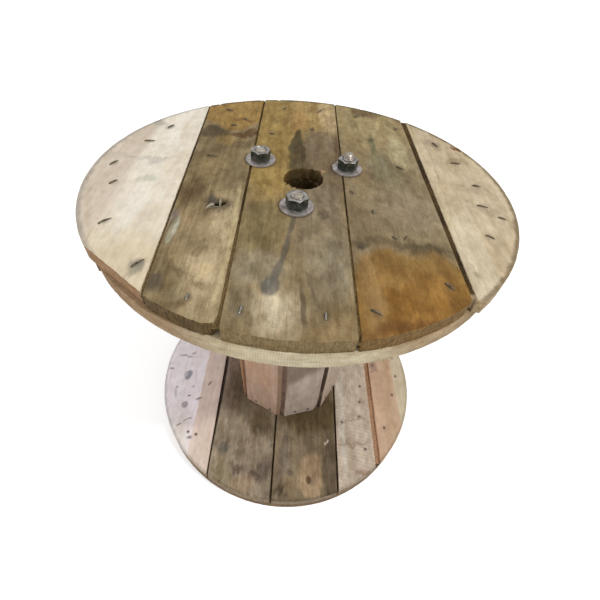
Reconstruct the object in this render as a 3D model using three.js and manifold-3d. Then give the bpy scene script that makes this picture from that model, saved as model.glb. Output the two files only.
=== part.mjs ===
// A small wooden cable drum standing on one flange.
//
// Each flange is two crossed layers of sawn planks. The planks of the layers that face the
// viewer of a standing drum (top outer, bottom inner) run along Y, and those of the other two
// run along X. Eight flat staves stand between the flanges round two hidden core formers, and
// three tie bolts clamp the whole drum: round heads sunk in the lower flange, washers and
// hexagon nuts on the upper one. Units are millimetres, +Z is up, and the origin is the centre
// of the lower flange's floor face.

import * as THREE from 'three';
import { mergeVertices } from 'three/addons/utils/BufferGeometryUtils.js';
import Module from 'manifold-3d';

const wasm = await Module();
wasm.setup();

// ---------------------------------------------------------------- driving dimensions

const FLANGE_D = 500;            // flange diameter
const LAYER_T = 16;              // thickness of one layer of flange planks
const PLANK_ARRIS = 1;           // eased edge of each flange plank
const TRAVERSE = 410;            // barrel length between the flanges' inner faces
const BORE_D = 48;               // arbor hole through both flanges

const FORMER_D = 170;            // hidden round plates that carry the staves
const FORMER_T = 20;
const FORMER_BORE_D = 70;
const FORMER_CLEARANCE = 0.3;    // former to the staves round it

const STAVE_T = 12;
const STAVE_GAP = 2.4;           // between neighbours' inner faces
const STAVE_SHARES = [76, 66, 74, 72, 75, 71, 74, 76];   // relative widths, going round
const STAVE_EDGE_SLOPE = 2.5;    // how much wider the outer face is on each edge
const STAVE_ARRIS = 1;
const FIRST_STAVE_ANGLE = 242;   // degrees from +X to the first stave's centre

const TIE_D = 16;                // tie bolt shank
const TIE_CIRCLE_R = 63.5;
const TIE_PHASE = 25.6;          // degrees from +X to the first tie bolt
const TIE_CENTRE = [-2.5, 0.5];  // the drilled pattern sits a little off the arbor hole
const TIE_STICK_OUT = [6, 2, 3.5];   // bolt tips above their nuts
const TIE_TIP_CHAMFER = 1.8;
const TIE_HOLE_CLEARANCE = 1;    // radial, in the wood
const HEAD_D = 35;
const HEAD_H = 8;
const HEAD_RIM_H = 2;
const HEAD_POCKET_DEPTH = 9;     // sinks the head, so that the drum stands on its flange
const HEAD_POCKET_CLEARANCE = 1.5;
const NECK_SIDE = 16;            // square neck that bites in the wood under the head
const NECK_H = 8;
const NECK_CLEARANCE = 0.3;
const WASHER_D = 38;
const WASHER_T = 3;
const WASHER_CLEARANCE = 0.5;
const NUT_ACROSS_FLATS = 24;
const NUT_H = 13;
const NUT_CORNER_CHAMFER = 1.6;
const NUT_THREAD_CLEARANCE = 0.3;
const NUT_TURNS = [0, 18, 30];   // degrees that each nut was left at

// A torn-out hole in the second plank of the top.
const TEAR_CENTRE = [-91, -66];
const TEAR_LENGTH = 23;
const TEAR_WIDTH = 9;
const TEAR_DEPTH = 12;
const TEAR_TURN = 33;            // degrees from +X

// The seams between a layer's planks, from left to right for planks that run along Y and from
// front to back for planks that run along X: where each seam's centre crosses the far and near
// ends of the flange circle, and its gap there. Far is +Y, or +X for the crossed planks.
const TOP_OUTER_SEAMS_FAR = [-150, -66, 50.7, 157];
const TOP_OUTER_SEAMS_NEAR = [-132, -66, 46.3, 153];
const TOP_OUTER_GAPS_FAR = [2, 2, 1.5, 8];
const TOP_OUTER_GAPS_NEAR = [2.5, 3, 2, 4];
const TOP_INNER_SEAMS_FAR = [-146, -42, 64, 157];
const TOP_INNER_SEAMS_NEAR = [-148, -40, 62, 159];
const TOP_INNER_GAPS = [2, 2, 2, 2];
const BOTTOM_INNER_SEAMS_FAR = [-132, -16, 97, 168];
const BOTTOM_INNER_SEAMS_NEAR = [-132, -21, 92.5, 167.5];
const BOTTOM_INNER_GAPS_FAR = [3, 2, 2.5, 9];
const BOTTOM_INNER_GAPS_NEAR = [2.5, 3, 3, 9.5];
const BOTTOM_OUTER_SEAMS_FAR = [-150, -43, 54, 148];
const BOTTOM_OUTER_SEAMS_NEAR = [-152, -45, 53, 150];
const BOTTOM_OUTER_GAPS = [1.5, 1.5, 1.5, 1.5];

// How far planks were sawn inside the flange circle, at their near ends and at their far ends.
const TOP_OUTER_SHORT_NEAR = [0, 7, 7.5, 6.5, 0];
const TOP_INNER_SHORT = [4.5, 0, 0, 0, 0];
const NOT_SHORT = [0, 0, 0, 0, 0];

// Bits knocked off the near right corners of the top's first, second and fourth planks, as
// [across the plank, along the plank].
const LONG_CUT = [70, 10];
const ROUNDED_CUT_A = [11, 5];
const ROUNDED_CUT_B = [4, 14];
const BROKEN_CUT = [13, 9];
const TOP_OUTER_CORNERS = [[LONG_CUT], [ROUNDED_CUT_A, ROUNDED_CUT_B], [], [BROKEN_CUT], []];
const WHOLE_CORNERS = [[], [], [], [], []];

// ---------------------------------------------------------------- worked-out dimensions

const FLANGE_R = FLANGE_D / 2;
const FLANGE_T = 2 * LAYER_T;
const BARREL_TOP = FLANGE_T + TRAVERSE;
const DRUM_H = BARREL_TOP + FLANGE_T;
const STAVE_INNER_R = FORMER_D / 2 + FORMER_CLEARANCE;   // axis to a stave's inner face
const STAVE_OUTER_R = STAVE_INNER_R + STAVE_T;
const TIE_HOLE_R = TIE_D / 2 + TIE_HOLE_CLEARANCE;
const TIES = TIE_STICK_OUT.map((stickOut, i) => {
  const angle = THREE.MathUtils.degToRad(TIE_PHASE + 360 * i / TIE_STICK_OUT.length);
  return {
    x: TIE_CENTRE[0] + TIE_CIRCLE_R * Math.cos(angle),
    y: TIE_CENTRE[1] + TIE_CIRCLE_R * Math.sin(angle),
    stickOut,
    nutTurn: NUT_TURNS[i],
  };
});

// Facets of the round shapes, and how far a cutting tool runs past what it cuts.
const RIM_FACETS = 96;
const ROUND_FACETS = 32;
const HOLE_FACETS = 20;
const OVERRUN = 5;

// An outline drops the points of its round stretches that lie this near a corner of its own.
const SHORTEST_EDGE = 2;
const CORNER = 'corner';

// ---------------------------------------------------------------- solids

/** Turn a closed geometry into a solid that can be joined and cut. */
function solid(geometry) {
  const bare = geometry.clone();
  bare.deleteAttribute('normal');
  bare.deleteAttribute('uv');
  const merged = mergeVertices(bare, 1e-4);
  const index = merged.index.array;
  const faces = [];
  for (let i = 0; i < index.length; i += 3) {
    const [a, b, c] = index.slice(i, i + 3);
    if (a !== b && b !== c && c !== a) faces.push(a, b, c);
  }
  return new wasm.Manifold(new wasm.Mesh({
    numProp: 3,
    vertProperties: new Float32Array(merged.attributes.position.array),
    triVerts: new Uint32Array(faces),
  }));
}

/** Turn a solid back into a geometry. */
function geometryOf(body) {
  const mesh = body.getMesh();
  const geometry = new THREE.BufferGeometry();
  geometry.setAttribute('position', new THREE.BufferAttribute(mesh.vertProperties, 3));
  geometry.setIndex(new THREE.BufferAttribute(mesh.triVerts, 1));
  return geometry;
}

/** An upright cylinder from z0 to z1 on the axis through (x, y). */
function post(radius, z0, z1, x = 0, y = 0, facets = HOLE_FACETS) {
  const geometry = new THREE.CylinderGeometry(radius, radius, z1 - z0, facets);
  geometry.rotateX(Math.PI / 2);
  geometry.translate(x, y, (z0 + z1) / 2);
  return solid(geometry);
}

/** A square post from z0 to z1 on the axis through (x, y). */
function squarePost(side, z0, z1, x, y) {
  const geometry = new THREE.BoxGeometry(side, side, z1 - z0);
  geometry.translate(x, y, (z0 + z1) / 2);
  return solid(geometry);
}

/** A turned solid: [radius, z] profile points that start and end on the axis or close up. */
function turned(profile, x = 0, y = 0, facets = ROUND_FACETS) {
  const points = profile.map(([r, z]) => new THREE.Vector2(r, z));
  const geometry = new THREE.LatheGeometry(points, facets);
  geometry.rotateX(Math.PI / 2);
  geometry.translate(x, y, 0);
  return solid(geometry);
}

/** An outline extruded from z0 to z1 with its edges eased by arris. */
function board(outline, z0, z1, arris) {
  const shape = new THREE.Shape(outline.map(([x, y]) => new THREE.Vector2(x, y)));
  const geometry = new THREE.ExtrudeGeometry(shape, {
    depth: z1 - z0 - 2 * arris,
    bevelEnabled: true,
    bevelThickness: arris,
    bevelSize: arris,
    bevelOffset: -arris,
    bevelSegments: 1,
  });
  geometry.translate(0, 0, z0 + arris);
  return solid(geometry);
}

// ---------------------------------------------------------------- outlines

/** Keep the part of a polygon on the same side of the line through a and b as inside. */
function clip(polygon, a, b, inside) {
  const side = ([x, y]) => (b[0] - a[0]) * (y - a[1]) - (b[1] - a[1]) * (x - a[0]);
  const sign = Math.sign(side(inside));
  const kept = [];
  polygon.forEach((p, i) => {
    const q = polygon[(i + 1) % polygon.length];
    const sp = sign * side(p);
    const sq = sign * side(q);
    if (sp >= 0) kept.push(p);
    if (sp * sq < 0) {
      const t = sp / (sp - sq);
      kept.push([p[0] + t * (q[0] - p[0]), p[1] + t * (q[1] - p[1]), CORNER]);
    }
  });
  return kept.filter((p, i) => p[2] === CORNER || [kept.at(i - 1), kept[(i + 1) % kept.length]]
    .every((q) => Math.hypot(q[0] - p[0], q[1] - p[1]) > SHORTEST_EDGE));
}

/** The flange circle as [across, along] points, with its near and far halves sawn short. */
function flangeCircle(shortNear, shortFar) {
  const points = [];
  for (let i = 0; i < RIM_FACETS; i += 1) {
    const angle = 2 * Math.PI * i / RIM_FACETS;
    const r = FLANGE_R - (Math.sin(angle) < 0 ? shortNear : shortFar);
    points.push([r * Math.cos(angle), r * Math.sin(angle)]);
  }
  return points;
}

/** One edge of seam i as a line of [across, along] points: side -1 is the seam's left edge. */
function seamEdge(layer, i, side) {
  return [
    [layer.seamsFar[i] + side * layer.gapsFar[i] / 2, FLANGE_R],
    [layer.seamsNear[i] + side * layer.gapsNear[i] / 2, -FLANGE_R],
  ];
}

/** Plank i of a layer: the flange circle between two seams, with its sawn and broken ends. */
function plankOutline(layer, i) {
  const left = i > 0 ? seamEdge(layer, i - 1, 1) : null;
  const right = i < layer.seamsFar.length ? seamEdge(layer, i, -1) : null;
  const middle = [((left ? left[0][0] : -FLANGE_R) + (right ? right[0][0] : FLANGE_R)) / 2, 0];
  let outline = flangeCircle(layer.shortNear[i], layer.shortFar[i]);
  if (left) outline = clip(outline, left[0], left[1], middle);
  if (right) outline = clip(outline, right[0], right[1], middle);
  const r = FLANGE_R - layer.shortNear[i];
  for (const [across, along] of layer.corners[i]) {
    const cornerX = right[1][0];
    const cornerY = -Math.sqrt(r * r - cornerX * cornerX);
    const startX = cornerX - across;
    const start = [startX, -Math.sqrt(r * r - startX * startX)];
    outline = clip(outline, start, [cornerX, cornerY + along], middle);
  }
  return outline;
}

// ---------------------------------------------------------------- pieces

const WOOD_ROUGHNESS = 0.85;
const group = new THREE.Group();

/** Add one finished piece to the drum. */
function add(name, body, colour, roughness = WOOD_ROUGHNESS, metalness = 0) {
  const material = new THREE.MeshStandardMaterial({
    color: colour, roughness, metalness, flatShading: true,
  });
  const mesh = new THREE.Mesh(geometryOf(body), material);
  mesh.name = name;
  group.add(mesh);
}

/** What the tie bolts and the arbor cut out of the wood between z0 and z1. */
function drillings(z0, z1, boreD) {
  const bore = post(boreD / 2, z0 - OVERRUN, z1 + OVERRUN, 0, 0, ROUND_FACETS);
  return TIES.reduce(
    (cut, tie) => cut.add(post(TIE_HOLE_R, z0 - OVERRUN, z1 + OVERRUN, tie.x, tie.y)),
    bore,
  );
}

/** The pockets under the drum that hold the tie bolts' heads and square necks. */
function headPockets() {
  const radius = HEAD_D / 2 + HEAD_POCKET_CLEARANCE;
  const neckTop = HEAD_POCKET_DEPTH + NECK_H + NECK_CLEARANCE;
  const side = NECK_SIDE + 2 * NECK_CLEARANCE;
  return TIES.map((tie) => post(radius, -OVERRUN, HEAD_POCKET_DEPTH, tie.x, tie.y)
    .add(squarePost(side, 0, neckTop, tie.x, tie.y)))
    .reduce((cut, pocket) => cut.add(pocket));
}

/** The torn-out hole, open at the flange's outer face and narrower below. */
function tear() {
  const floorShare = 0.76;
  const geometry = new THREE.CylinderGeometry(
    0.5, 0.5 * floorShare, TEAR_DEPTH + OVERRUN, HOLE_FACETS,
  );
  geometry.rotateX(Math.PI / 2);
  geometry.scale(TEAR_LENGTH, TEAR_WIDTH, 1);
  geometry.rotateZ(THREE.MathUtils.degToRad(TEAR_TURN));
  geometry.translate(TEAR_CENTRE[0], TEAR_CENTRE[1], DRUM_H + (OVERRUN - TEAR_DEPTH) / 2);
  return solid(geometry);
}

/** A layer's planks, running along Y, or along X where the layer is crossed. */
function addLayer(layer) {
  layer.colours.forEach((colour, i) => {
    const outline = plankOutline(layer, i);
    const placed = layer.crossed ? outline.map(([across, along]) => [along, across]) : outline;
    const plank = board(placed, layer.z0, layer.z0 + LAYER_T, PLANK_ARRIS).subtract(layer.cut);
    add(`${layer.name}_plank_${i + 1}`, plank, colour);
  });
}

function addFlanges() {
  const bottomCut = drillings(0, FLANGE_T, BORE_D).add(headPockets());
  const topCut = drillings(BARREL_TOP, DRUM_H, BORE_D).add(tear());
  addLayer({
    name: 'bottom_outer',
    z0: 0,
    crossed: true,
    cut: bottomCut,
    seamsFar: BOTTOM_OUTER_SEAMS_FAR,
    seamsNear: BOTTOM_OUTER_SEAMS_NEAR,
    gapsFar: BOTTOM_OUTER_GAPS,
    gapsNear: BOTTOM_OUTER_GAPS,
    shortFar: NOT_SHORT,
    shortNear: NOT_SHORT,
    corners: WHOLE_CORNERS,
    colours: ['#a98a63', '#a5855f', '#a07f5a', '#a8885f', '#ab8c66'],
  });
  addLayer({
    name: 'bottom_inner',
    z0: LAYER_T,
    crossed: false,
    cut: bottomCut,
    seamsFar: BOTTOM_INNER_SEAMS_FAR,
    seamsNear: BOTTOM_INNER_SEAMS_NEAR,
    gapsFar: BOTTOM_INNER_GAPS_FAR,
    gapsNear: BOTTOM_INNER_GAPS_NEAR,
    shortFar: NOT_SHORT,
    shortNear: NOT_SHORT,
    corners: WHOLE_CORNERS,
    colours: ['#cbbdb0', '#8d7d69', '#7d6c55', '#bdb09c', '#c3a78a'],
  });
  addLayer({
    name: 'top_inner',
    z0: BARREL_TOP,
    crossed: true,
    cut: topCut,
    seamsFar: TOP_INNER_SEAMS_FAR,
    seamsNear: TOP_INNER_SEAMS_NEAR,
    gapsFar: TOP_INNER_GAPS,
    gapsNear: TOP_INNER_GAPS,
    shortFar: TOP_INNER_SHORT,
    shortNear: TOP_INNER_SHORT,
    corners: WHOLE_CORNERS,
    colours: ['#c9bd9d', '#a58a66', '#a58863', '#a98c66', '#a98d68'],
  });
  addLayer({
    name: 'top_outer',
    z0: BARREL_TOP + LAYER_T,
    crossed: false,
    cut: topCut,
    seamsFar: TOP_OUTER_SEAMS_FAR,
    seamsNear: TOP_OUTER_SEAMS_NEAR,
    gapsFar: TOP_OUTER_GAPS_FAR,
    gapsNear: TOP_OUTER_GAPS_NEAR,
    shortFar: NOT_SHORT,
    shortNear: TOP_OUTER_SHORT_NEAR,
    corners: TOP_OUTER_CORNERS,
    colours: ['#ddd2bb', '#8f7a56', '#96845f', '#8e7d5d', '#cbb999'],
  });
}

/** The core formers, one against each flange inside the staves. */
function addFormers() {
  const places = { core_former_bottom: FLANGE_T, core_former_top: BARREL_TOP - FORMER_T };
  for (const [name, z0] of Object.entries(places)) {
    const plate = post(FORMER_D / 2, z0, z0 + FORMER_T, 0, 0, RIM_FACETS / 2);
    add(name, plate.subtract(drillings(z0, z0 + FORMER_T, FORMER_BORE_D)), '#a98c68');
  }
}

/** A flat stave that fills an angle of the barrel, with sloping edges, centred on +X. */
function stave(fill) {
  const inner = STAVE_INNER_R * Math.tan(fill / 2);
  const outer = inner + STAVE_EDGE_SLOPE;
  const half = [
    [STAVE_INNER_R, -inner],
    [STAVE_OUTER_R - STAVE_ARRIS, STAVE_ARRIS * STAVE_EDGE_SLOPE / STAVE_T - outer],
    [STAVE_OUTER_R, STAVE_ARRIS - outer],
  ];
  const section = [...half, ...half.map(([x, y]) => [x, -y]).reverse()];
  const shape = new THREE.Shape(section.map(([x, y]) => new THREE.Vector2(x, y)));
  return new THREE.ExtrudeGeometry(shape, { depth: TRAVERSE, bevelEnabled: false });
}

/** Staves side by side round the formers, sharing what the gaps leave of the circle. */
function addStaves() {
  const gap = STAVE_GAP / STAVE_INNER_R;
  const shares = STAVE_SHARES.reduce((sum, share) => sum + share, 0);
  const filled = 2 * Math.PI - gap * STAVE_SHARES.length;
  const fills = STAVE_SHARES.map((share) => filled * share / shares);
  let angle = THREE.MathUtils.degToRad(FIRST_STAVE_ANGLE) - fills[0] / 2;
  fills.forEach((fill, i) => {
    const geometry = stave(fill);
    geometry.rotateZ(angle + fill / 2);
    geometry.translate(0, 0, FLANGE_T);
    add(`stave_${i + 1}`, solid(geometry), i % 2 ? '#a8958a' : '#ae917c');
    angle += fill + gap;
  });
}

/** A round-headed tie bolt with a square neck and a chamfered tip. */
function tieBolt(tie) {
  const r = TIE_D / 2;
  const seat = HEAD_POCKET_DEPTH;
  const tip = DRUM_H + WASHER_T + NUT_H + tie.stickOut;
  const crown = [];
  const crownSteps = 6;
  for (let i = 0; i <= crownSteps; i += 1) {
    const t = i / crownSteps * Math.PI / 2;
    crown.push([
      HEAD_D / 2 * Math.sin(t),
      seat - HEAD_RIM_H - (HEAD_H - HEAD_RIM_H) * Math.cos(t),
    ]);
  }
  return turned([
    ...crown,
    [HEAD_D / 2, seat],
    [r, seat],
    [r, tip - TIE_TIP_CHAMFER],
    [r - TIE_TIP_CHAMFER, tip],
    [0, tip],
  ], tie.x, tie.y).add(squarePost(NECK_SIDE, seat - HEAD_RIM_H, seat + NECK_H, tie.x, tie.y));
}

function washer(tie) {
  const inner = TIE_D / 2 + WASHER_CLEARANCE;
  const outer = WASHER_D / 2;
  const top = DRUM_H + WASHER_T;
  const ring = [[inner, DRUM_H], [outer, DRUM_H], [outer, top], [inner, top], [inner, DRUM_H]];
  return turned(ring, tie.x, tie.y);
}

/** A hexagon nut with its corners chamfered at both ends. */
function nut(tie) {
  const z0 = DRUM_H + WASHER_T;
  const z1 = z0 + NUT_H;
  const cornerR = NUT_ACROSS_FLATS / Math.sqrt(3);
  const faceR = cornerR - NUT_CORNER_CHAMFER;
  const hexagon = new THREE.CylinderGeometry(cornerR, cornerR, NUT_H, 6);
  hexagon.rotateX(Math.PI / 2);
  hexagon.rotateZ(THREE.MathUtils.degToRad(tie.nutTurn));
  hexagon.translate(tie.x, tie.y, (z0 + z1) / 2);
  const chamfer = NUT_CORNER_CHAMFER / 2;
  const envelope = turned([
    [0, z0], [faceR, z0], [cornerR, z0 + chamfer], [cornerR, z1 - chamfer], [faceR, z1], [0, z1],
  ], tie.x, tie.y);
  const thread = post(TIE_D / 2 + NUT_THREAD_CLEARANCE, z0 - OVERRUN, z1 + OVERRUN, tie.x, tie.y,
    ROUND_FACETS);
  return solid(hexagon).intersect(envelope).subtract(thread);
}

function addTies() {
  const metal = 0.85;
  TIES.forEach((tie, i) => {
    add(`tie_bolt_${i + 1}`, tieBolt(tie), '#8f9391', 0.4, metal);
    add(`washer_${i + 1}`, washer(tie), '#85888a', 0.45, metal);
    add(`nut_${i + 1}`, nut(tie), '#8b908e', 0.38, metal);
  });
}

addFlanges();
addFormers();
addStaves();
addTies();

export default group;
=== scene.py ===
import math

import bmesh
import bpy
import numpy as np
from mathutils import Matrix, Vector, geometry


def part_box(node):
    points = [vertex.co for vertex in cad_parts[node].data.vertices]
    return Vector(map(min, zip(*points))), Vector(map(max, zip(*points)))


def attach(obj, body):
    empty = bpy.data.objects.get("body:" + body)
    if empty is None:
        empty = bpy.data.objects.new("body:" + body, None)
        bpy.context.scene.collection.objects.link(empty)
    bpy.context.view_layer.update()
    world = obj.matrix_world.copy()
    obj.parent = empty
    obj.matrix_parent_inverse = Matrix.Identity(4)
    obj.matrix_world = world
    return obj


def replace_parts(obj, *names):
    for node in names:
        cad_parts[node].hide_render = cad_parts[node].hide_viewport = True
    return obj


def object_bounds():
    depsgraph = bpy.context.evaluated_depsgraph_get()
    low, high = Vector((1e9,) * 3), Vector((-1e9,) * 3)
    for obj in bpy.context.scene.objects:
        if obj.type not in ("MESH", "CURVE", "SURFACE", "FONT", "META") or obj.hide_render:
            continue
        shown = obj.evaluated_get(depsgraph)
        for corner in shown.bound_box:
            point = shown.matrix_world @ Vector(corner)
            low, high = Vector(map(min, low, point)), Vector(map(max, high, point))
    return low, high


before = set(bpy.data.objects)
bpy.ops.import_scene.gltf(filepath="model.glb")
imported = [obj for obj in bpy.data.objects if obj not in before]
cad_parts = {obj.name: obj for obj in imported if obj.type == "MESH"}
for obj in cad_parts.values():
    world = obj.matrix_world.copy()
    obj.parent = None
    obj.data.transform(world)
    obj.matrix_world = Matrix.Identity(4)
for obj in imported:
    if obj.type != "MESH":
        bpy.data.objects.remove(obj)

CAD_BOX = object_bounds()
MM = 0.001
AXES = {"x": 0, "y": 1, "z": 2}

# ---- places taken from the frame

TOP_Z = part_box("top_outer_plank_1")[1].z  # upper flange's outer face
UNDER_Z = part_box("top_inner_plank_1")[0].z  # upper flange's inner face
DECK_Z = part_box("bottom_inner_plank_1")[1].z  # lower flange's inner face
FLANGE_R = (CAD_BOX[1][0] - CAD_BOX[0][0]) / 2
STAVE_T = 12  # a stave's thickness, in millimetres


def centre(node):
    low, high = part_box(node)
    return (low + high) / 2


def placed(name, data):
    """A new object, linked into the scene."""
    thing = bpy.data.objects.new(name, data)
    bpy.context.scene.collection.objects.link(thing)
    return thing


# ---- camera, floor and light

CAMERA_YAW = math.radians(3.35)
CAMERA_PITCH = math.radians(47.75)
CAMERA_ROLL = math.radians(5.6)
CAMERA_PLACE = Vector((-0.0137, -0.4063, TOP_Z + 0.2285))
CAMERA_LENS = 21.9
SKY = 0.75  # light from all round
FLOOR_GLOW = 0.35  # what the floor adds where it is looked at


def add_camera():
    forward = Vector((
        math.sin(CAMERA_YAW) * math.cos(CAMERA_PITCH),
        math.cos(CAMERA_YAW) * math.cos(CAMERA_PITCH),
        -math.sin(CAMERA_PITCH),
    ))
    level = Vector((math.cos(CAMERA_YAW), -math.sin(CAMERA_YAW), 0))
    up = level.cross(forward)
    right = level * math.cos(CAMERA_ROLL) + up * math.sin(CAMERA_ROLL)
    up = up * math.cos(CAMERA_ROLL) - level * math.sin(CAMERA_ROLL)
    turn = Matrix((right, up, -forward)).transposed().to_4x4()
    data = bpy.data.cameras.new("camera")
    data.lens = CAMERA_LENS
    data.sensor_width = 36
    data.sensor_fit = "HORIZONTAL"
    data.clip_start = 0.01
    camera = placed("camera", data)
    camera.matrix_world = Matrix.Translation(CAMERA_PLACE) @ turn
    bpy.context.scene.camera = camera
    bpy.context.scene.view_settings.view_transform = "Standard"


def area_light(name, place, target, size, watts):
    data = bpy.data.lights.new(name, "AREA")
    data.shape = "DISK"
    data.size = size
    data.energy = watts
    light = placed(name, data)
    light.location = place
    light.rotation_euler = (Vector(target) - Vector(place)).to_track_quat("-Z", "Y").to_euler()


# ---- noise and loops in numbers

def noise_1d(seed, positions, scale):
    """Smooth noise in -1..1 along a line."""
    size = 4096
    table = np.random.default_rng(seed).uniform(-1, 1, size)
    x = np.asarray(positions, float) / scale
    whole = np.floor(x).astype(int)
    t = x - whole
    t = t * t * (3 - 2 * t)
    return table[whole % size] * (1 - t) + table[(whole + 1) % size] * t


def noise_2d(seed, x, y, scale):
    """Smooth noise in -1..1 over a plane."""
    size = 256
    table = np.random.default_rng(seed).uniform(-1, 1, (size, size))
    x, y = np.asarray(x, float) / scale, np.asarray(y, float) / scale
    i, j = np.floor(x).astype(int), np.floor(y).astype(int)
    s, t = x - i, y - j
    s, t = s * s * (3 - 2 * s), t * t * (3 - 2 * t)
    i, j = i % size, j % size
    k, m = (i + 1) % size, (j + 1) % size
    return ((table[i, j] * (1 - s) + table[k, j] * s) * (1 - t)
            + (table[i, m] * (1 - s) + table[k, m] * s) * t)


def signed_area(loop):
    """A closed loop's area, above zero where it runs anticlockwise."""
    x, y = loop[:, 0], loop[:, 1]
    return 0.5 * np.sum(x * np.roll(y, -1) - y * np.roll(x, -1))


def slice_loops(node, z):
    """Closed loops, in metres, where the level plane at z cuts a CAD node: outermost first.

    The cut ends of triangles are matched in hundredths of a millimetre.
    """
    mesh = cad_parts[node].data
    mesh.calc_loop_triangles()
    links = {}
    for triangle in mesh.loop_triangles:
        corners = [mesh.vertices[v].co for v in triangle.vertices]
        ends = []
        for a, b in zip(corners, corners[1:] + corners[:1]):
            if (a.z - z) * (b.z - z) < 0:
                first, last = sorted((a, b), key=lambda p: (p.z, p.x, p.y))
                p = first.lerp(last, (z - first.z) / (last.z - first.z))
                ends.append((round(p.x * 1e5), round(p.y * 1e5)))
        if len(ends) == 2 and ends[0] != ends[1]:
            links.setdefault(ends[0], set()).add(ends[1])
            links.setdefault(ends[1], set()).add(ends[0])
    loops = []
    while links:
        start = min(links)
        loop, last, here = [start], None, start
        while True:
            ways = [p for p in links[here] if p != last]
            step = min(ways) if last is None else ways[0]
            if step == start:
                break
            loop.append(step)
            last, here = here, step
        for p in loop:
            links.pop(p)
        loops.append(np.array(loop, float) * 1e-5)
    loops.sort(key=lambda loop: -abs(signed_area(loop)))
    return [loop if signed_area(loop) > 0 else loop[::-1] for loop in loops]


def resample(loop, step):
    """Points along a closed loop at even steps, its corners kept."""
    points = []
    for a, b in zip(loop, np.roll(loop, -1, axis=0)):
        count = max(1, int(round(np.linalg.norm(b - a) / step)))
        points += [a + (b - a) * i / count for i in range(count)]
    return np.array(points)


def soften(loop, rounds):
    """A closed loop with its corners worn round."""
    for _ in range(rounds):
        loop = 0.5 * loop + 0.25 * (np.roll(loop, 1, axis=0) + np.roll(loop, -1, axis=0))
    return loop


def inward(loop):
    """Unit normals that point into an anticlockwise loop."""
    along = np.roll(loop, -1, axis=0) - np.roll(loop, 1, axis=0)
    along /= np.maximum(np.linalg.norm(along, axis=1, keepdims=True), 1e-9)
    return np.stack([-along[:, 1], along[:, 0]], axis=1)


def arc_length(loop):
    steps = np.linalg.norm(np.roll(loop, -1, axis=0) - loop, axis=1)
    return np.concatenate([[0], np.cumsum(steps)[:-1]])


def inside(points, loop):
    """Which points lie inside a closed loop."""
    x, y = points[:, 0], points[:, 1]
    result = np.zeros(len(points), bool)
    for (ax, ay), (bx, by) in zip(loop, np.roll(loop, -1, axis=0)):
        if ay == by:
            continue
        result ^= ((ay > y) != (by > y)) & (x < (bx - ax) * (y - ay) / (by - ay) + ax)
    return result


def near(points, loop, reach):
    """Which points lie within reach of a loop's points."""
    result = np.zeros(len(points), bool)
    for p in loop:
        result |= np.hypot(points[:, 0] - p[0], points[:, 1] - p[1]) < reach
    return result


# ---- meshes

class Shape:
    """Vertices and faces gathered from several closed parts."""

    def __init__(self):
        self.vertices = []
        self.faces = []

    def ring(self, points):
        """Adds a ring of vertices and gives their numbers."""
        first = len(self.vertices)
        self.vertices += [tuple(p) for p in points]
        return list(range(first, len(self.vertices)))

    def bridge(self, a, b):
        """Quads between two rings of as many vertices."""
        for i in range(len(a)):
            j = (i + 1) % len(a)
            self.faces.append((a[i], a[j], b[j], b[i]))

    def fan(self, ring, point):
        """Closes a ring with triangles to a point."""
        middle = self.ring([point])[0]
        for i in range(len(ring)):
            self.faces.append((ring[i], ring[(i + 1) % len(ring)], middle))

    def tube(self, rows, ends=()):
        """Skins rows of points, one ring after another, and closes the tube to its end points."""
        made = [self.ring(points) for points in rows]
        for a, b in zip(made, made[1:]):
            self.bridge(a, b)
        for ring, point in zip((made[0], made[-1]), ends):
            if point is not None:
                self.fan(ring, point)
        return made

    def make(self, name, material, smooth_degrees=38):
        """A piece of the visual model, sharp where two faces turn by more than smooth_degrees."""
        mesh = bpy.data.meshes.new(name)
        mesh.from_pydata(self.vertices, [], self.faces)
        mesh.validate()
        form = bmesh.new()
        form.from_mesh(mesh)
        bmesh.ops.recalc_face_normals(form, faces=form.faces)
        form.to_mesh(mesh)
        form.free()
        mesh.materials.append(material)
        mesh.shade_smooth()
        mesh.set_sharp_from_angle(angle=math.radians(smooth_degrees))
        piece = placed(name, mesh)
        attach(piece, "root")
        return piece


def cap(shape, rings, height, spacing):
    """Triangles across a flat face: the first ring is its outline and the others its holes."""
    loops = [np.array([shape.vertices[v][:2] for v in ring]) for ring in rings]
    outer, holes = loops[0], loops[1:]
    low, high = outer.min(axis=0), outer.max(axis=0)
    xs = np.arange(low[0] + spacing / 2, high[0], spacing)
    ys = np.arange(low[1] + spacing / 2, high[1], spacing * 1.6)
    grid = np.array([(x, y) for x in xs for y in ys])
    keep = inside(grid, outer) & ~near(grid, outer, spacing * 0.5)
    for hole in holes:
        keep &= ~inside(grid, hole) & ~near(grid, hole, spacing * 0.4)
    grid = grid[keep]
    edges, count = [], 0
    for loop in loops:
        edges += [(count + i, count + (i + 1) % len(loop)) for i in range(len(loop))]
        count += len(loop)
    flat = np.concatenate([*loops, grid])
    result = geometry.delaunay_2d_cdt([Vector(p) for p in flat], edges, [], 2, 1e-7)
    known = [v for ring in rings for v in ring]
    known += shape.ring([(*p, height(*p)) for p in grid])
    numbers = []
    for place, sources in zip(result[0], result[3]):
        numbers.append(known[sources[0]] if sources else shape.ring([(*place, height(*place))])[0])
    places = np.array([tuple(p) for p in result[0]])
    triangles = np.array(result[2])
    middles = places[triangles].mean(axis=1)
    keep = inside(middles, outer)
    for hole in holes:
        keep &= ~inside(middles, hole)
    for triangle in triangles[keep]:
        face = tuple(numbers[v] for v in triangle)
        if len(set(face)) == 3:
            shape.faces.append(face)


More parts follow.
